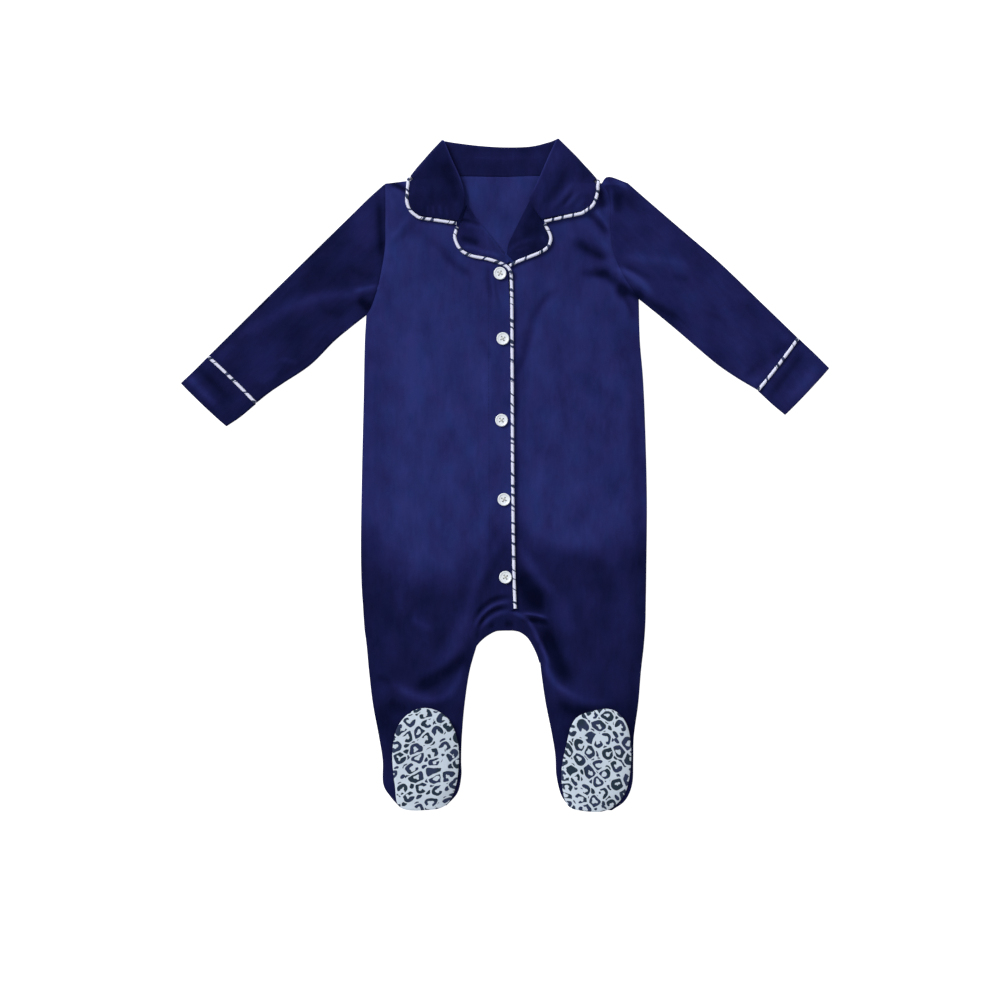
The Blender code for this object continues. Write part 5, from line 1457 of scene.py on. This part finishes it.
STITCH = 2.5
STITCH_STEP = 3.3
STITCH_THREAD = 0.36
STITCH_BOW = [-0.3, -0.08, 0.0, -0.08, -0.3]       # its ends go down into the pile
PLACKET_STITCH = [
    (-15.4, 191.0), (-15.2, 120.0), (-14.9, 50.0), (-14.5, -20.0), (-14.2, -80.0), (-14.0, -121.0),
]
STAND_STITCH = (1, 12)  # columns of the stand that are sewn through
CUFF_STITCH = 0.12      # place of the cuff's row, as a share of its length


def thread_finish(name, colour):
    """Matt spun thread, with its twist as fine bands."""
    finish = material(name, {"Roughness": 0.8, "Specular IOR Level": 0.1})
    tree = finish.node_tree
    place = add(tree, "ShaderNodeTexCoord").outputs["Object"]
    twist = add(tree, "ShaderNodeTexWave", {"Vector": place, "Scale": 900.0, "Distortion": 1.0},
                bands_direction="DIAGONAL").outputs["Fac"]
    darker = tuple(0.7 * part for part in colour)
    return coloured(finish, blended(tree, twist, (*darker, 1.0), (*colour, 1.0)))


NAVY_THREAD = thread_finish("navy thread", (0.006, 0.008, 0.060))


def stitches(name, line):
    """A row of stitches along a line on top of the cloth."""
    along = run_lengths(line)
    paths = []
    for start in np.arange(0.0, along[-1] - STITCH, STITCH_STEP):
        spots = start + STITCH * even(len(STITCH_BOW))
        path = np.column_stack([np.interp(spots, along, line[:, axis]) for axis in range(3)])
        path[:, 2] += STITCH_BOW
        paths.append(path)
    settle(grown(CORD, name, paths, Radius=STITCH_THREAD / 2 * MM, Step=0.6 * MM, Finish=NAVY_THREAD))


line = spline(PLACKET_STITCH, even(400))
stitches("placket_stitches", np.column_stack([line, upper_lapped(*line.T) + WALL]))
back_rows = FRONT_STATIONS + len(TURNS) + np.arange(5, BACK_STATIONS - 5)
for number, column in enumerate(STAND_STITCH, 1):
    stitches(f"stand_stitches_{number}", stand[back_rows, column] + (0.0, 0.0, WALL / 2))
for side, table in (("right", CUFF_RIGHT), ("left", CUFF_LEFT)):
    line = across_row(spline(table, [CUFF_STITCH])[0], even(60)[4:-4])
    stitches(f"{side}_cuff_stitches", np.column_stack([line, upper(*line.T) + WALL]))

# ------------------------------------------------------------------ buttons
# Five white four-hole buttons with a raised rim, each sewn on with a cross of grey thread.

BUTTONS = [(-4.6, 184.5), (-2.0, 124.6), (-3.2, 49.7), (-1.0, -23.0), (0.4, -94.3)]
BUTTON_THICK = 2.4
BUTTON_HOLE = 1.3
BUTTON_PITCH = 2.9      # from hole to hole
THREAD = 0.42
THREAD_LEAN = (-0.189, 0.189)   # its two strands lie side by side
THREAD_RISE = 1.5
# Half of a button's section, 11.6 across, from the middle of its top to the middle of its underside.
# columns: radius, height
BUTTON_PROFILE = [
    (0.0, 1.7), (3.4, 1.7), (4.2, 1.85), (4.6, 2.15), (4.9, 2.36), (5.2, 2.4), (5.5, 2.3), (5.72, 2.05),
    (5.8, 1.7), (5.8, 0.7), (5.7, 0.35), (5.4, 0.1), (5.0, 0.0), (0.0, 0.0),
]


def button_plastic():
    """White plastic with faint cloudy variation and a satin gloss."""
    finish = material("white button plastic", {"Roughness": 0.32, "Coat Weight": 0.3, "Coat Roughness": 0.2})
    tree = finish.node_tree
    cloud = noise(tree, add(tree, "ShaderNodeTexCoord").outputs["Object"], 420.0, 3.0)
    return coloured(finish, blended(tree, cloud, (0.62, 0.66, 0.71, 1.0), (0.80, 0.84, 0.90, 1.0)))


def turned_solid(name, profile, place, sides, finish):
    """A body turned round an upright axis, from half its section."""
    inner = profile[1:-1]
    angles = [math.tau * step / sides for step in range(sides)]
    points = [(radius * math.cos(angle), radius * math.sin(angle), height)
              for radius, height in inner for angle in angles]
    points += [(0.0, 0.0, profile[0][1]), (0.0, 0.0, profile[-1][1])]
    top, bottom, last = len(points) - 2, len(points) - 1, len(points) - 2 - sides
    faces = []
    for step in range(sides):
        beside = (step + 1) % sides
        faces += [(step, beside, top), (last + beside, last + step, bottom)]
        for near in range(0, last, sides):
            faces.append((near + beside, near + step, near + sides + step, near + sides + beside))
    mesh = bpy.data.meshes.new(name)
    mesh.from_pydata(((np.array(points) + place) * MM).tolist(), [], faces)
    mesh.materials.append(finish)
    return linked(name, mesh)


def pierced(piece, drills):
    """The piece with its drills cut away, as a plain mesh."""
    for drill in drills:
        cut = piece.modifiers.new("hole", "BOOLEAN")
        cut.object = drill
        cut.operation = "DIFFERENCE"
    bpy.context.view_layer.update()
    mesh = bpy.data.meshes.new_from_object(piece.evaluated_get(bpy.context.evaluated_depsgraph_get()))
    piece.modifiers.clear()
    piece.data = mesh
    for drill in drills:
        bpy.data.objects.remove(drill)
    mesh.shade_smooth()
    mesh.set_sharp_from_angle(angle=math.radians(40))


PLASTIC = button_plastic()
GREY_THREAD = thread_finish("grey thread", (0.55, 0.56, 0.52))
DRILL_PROFILE = [(0.0, BUTTON_THICK), (BUTTON_HOLE / 2, BUTTON_THICK), (BUTTON_HOLE / 2, -1.0), (0.0, -1.0)]
for number, (x, y) in enumerate(BUTTONS, 1):
    around = np.array([(x + dx, y + dy) for dx in (-6, 0, 6) for dy in (-6, 0, 6)])
    ground = float(np.max(upper_lapped(*around.T))) + WALL + 0.2
    turn = math.radians(45.0 + 17.0 * math.sin(2.0 * number)) + np.arange(4) * math.pi / 2
    holes = (x, y) + BUTTON_PITCH / math.sqrt(2) * np.column_stack([np.cos(turn), np.sin(turn)])
    body = turned_solid(f"shirt_button_{number}", BUTTON_PROFILE, (x, y, ground), 48, PLASTIC)
    pierced(body, [turned_solid(f"drill_{number}_{hole}", DRILL_PROFILE, (*place, ground), 16, PLASTIC)
                   for hole, place in enumerate(holes)])
    settle(body, f"button_{number}", slot="button_white")
    strands = []
    for first, second in ((holes[0], holes[2]), (holes[1], holes[3])):
        line = between(first[None], second[None], even(9))[0]
        rise = ground + 0.6 + THREAD_RISE * np.sin(math.pi * even(9)) ** 0.4
        side = np.array([first[1] - second[1], second[0] - first[0]]) / BUTTON_PITCH / math.sqrt(2)
        strands += [np.column_stack([line + side * lean, rise]) for lean in THREAD_LEAN]
    cross = grown(CORD, f"button_thread_{number}", strands, Radius=THREAD / 2 * MM, Step=0.3 * MM,
                  Finish=GREY_THREAD)
    settle(cross, slot="button_white")
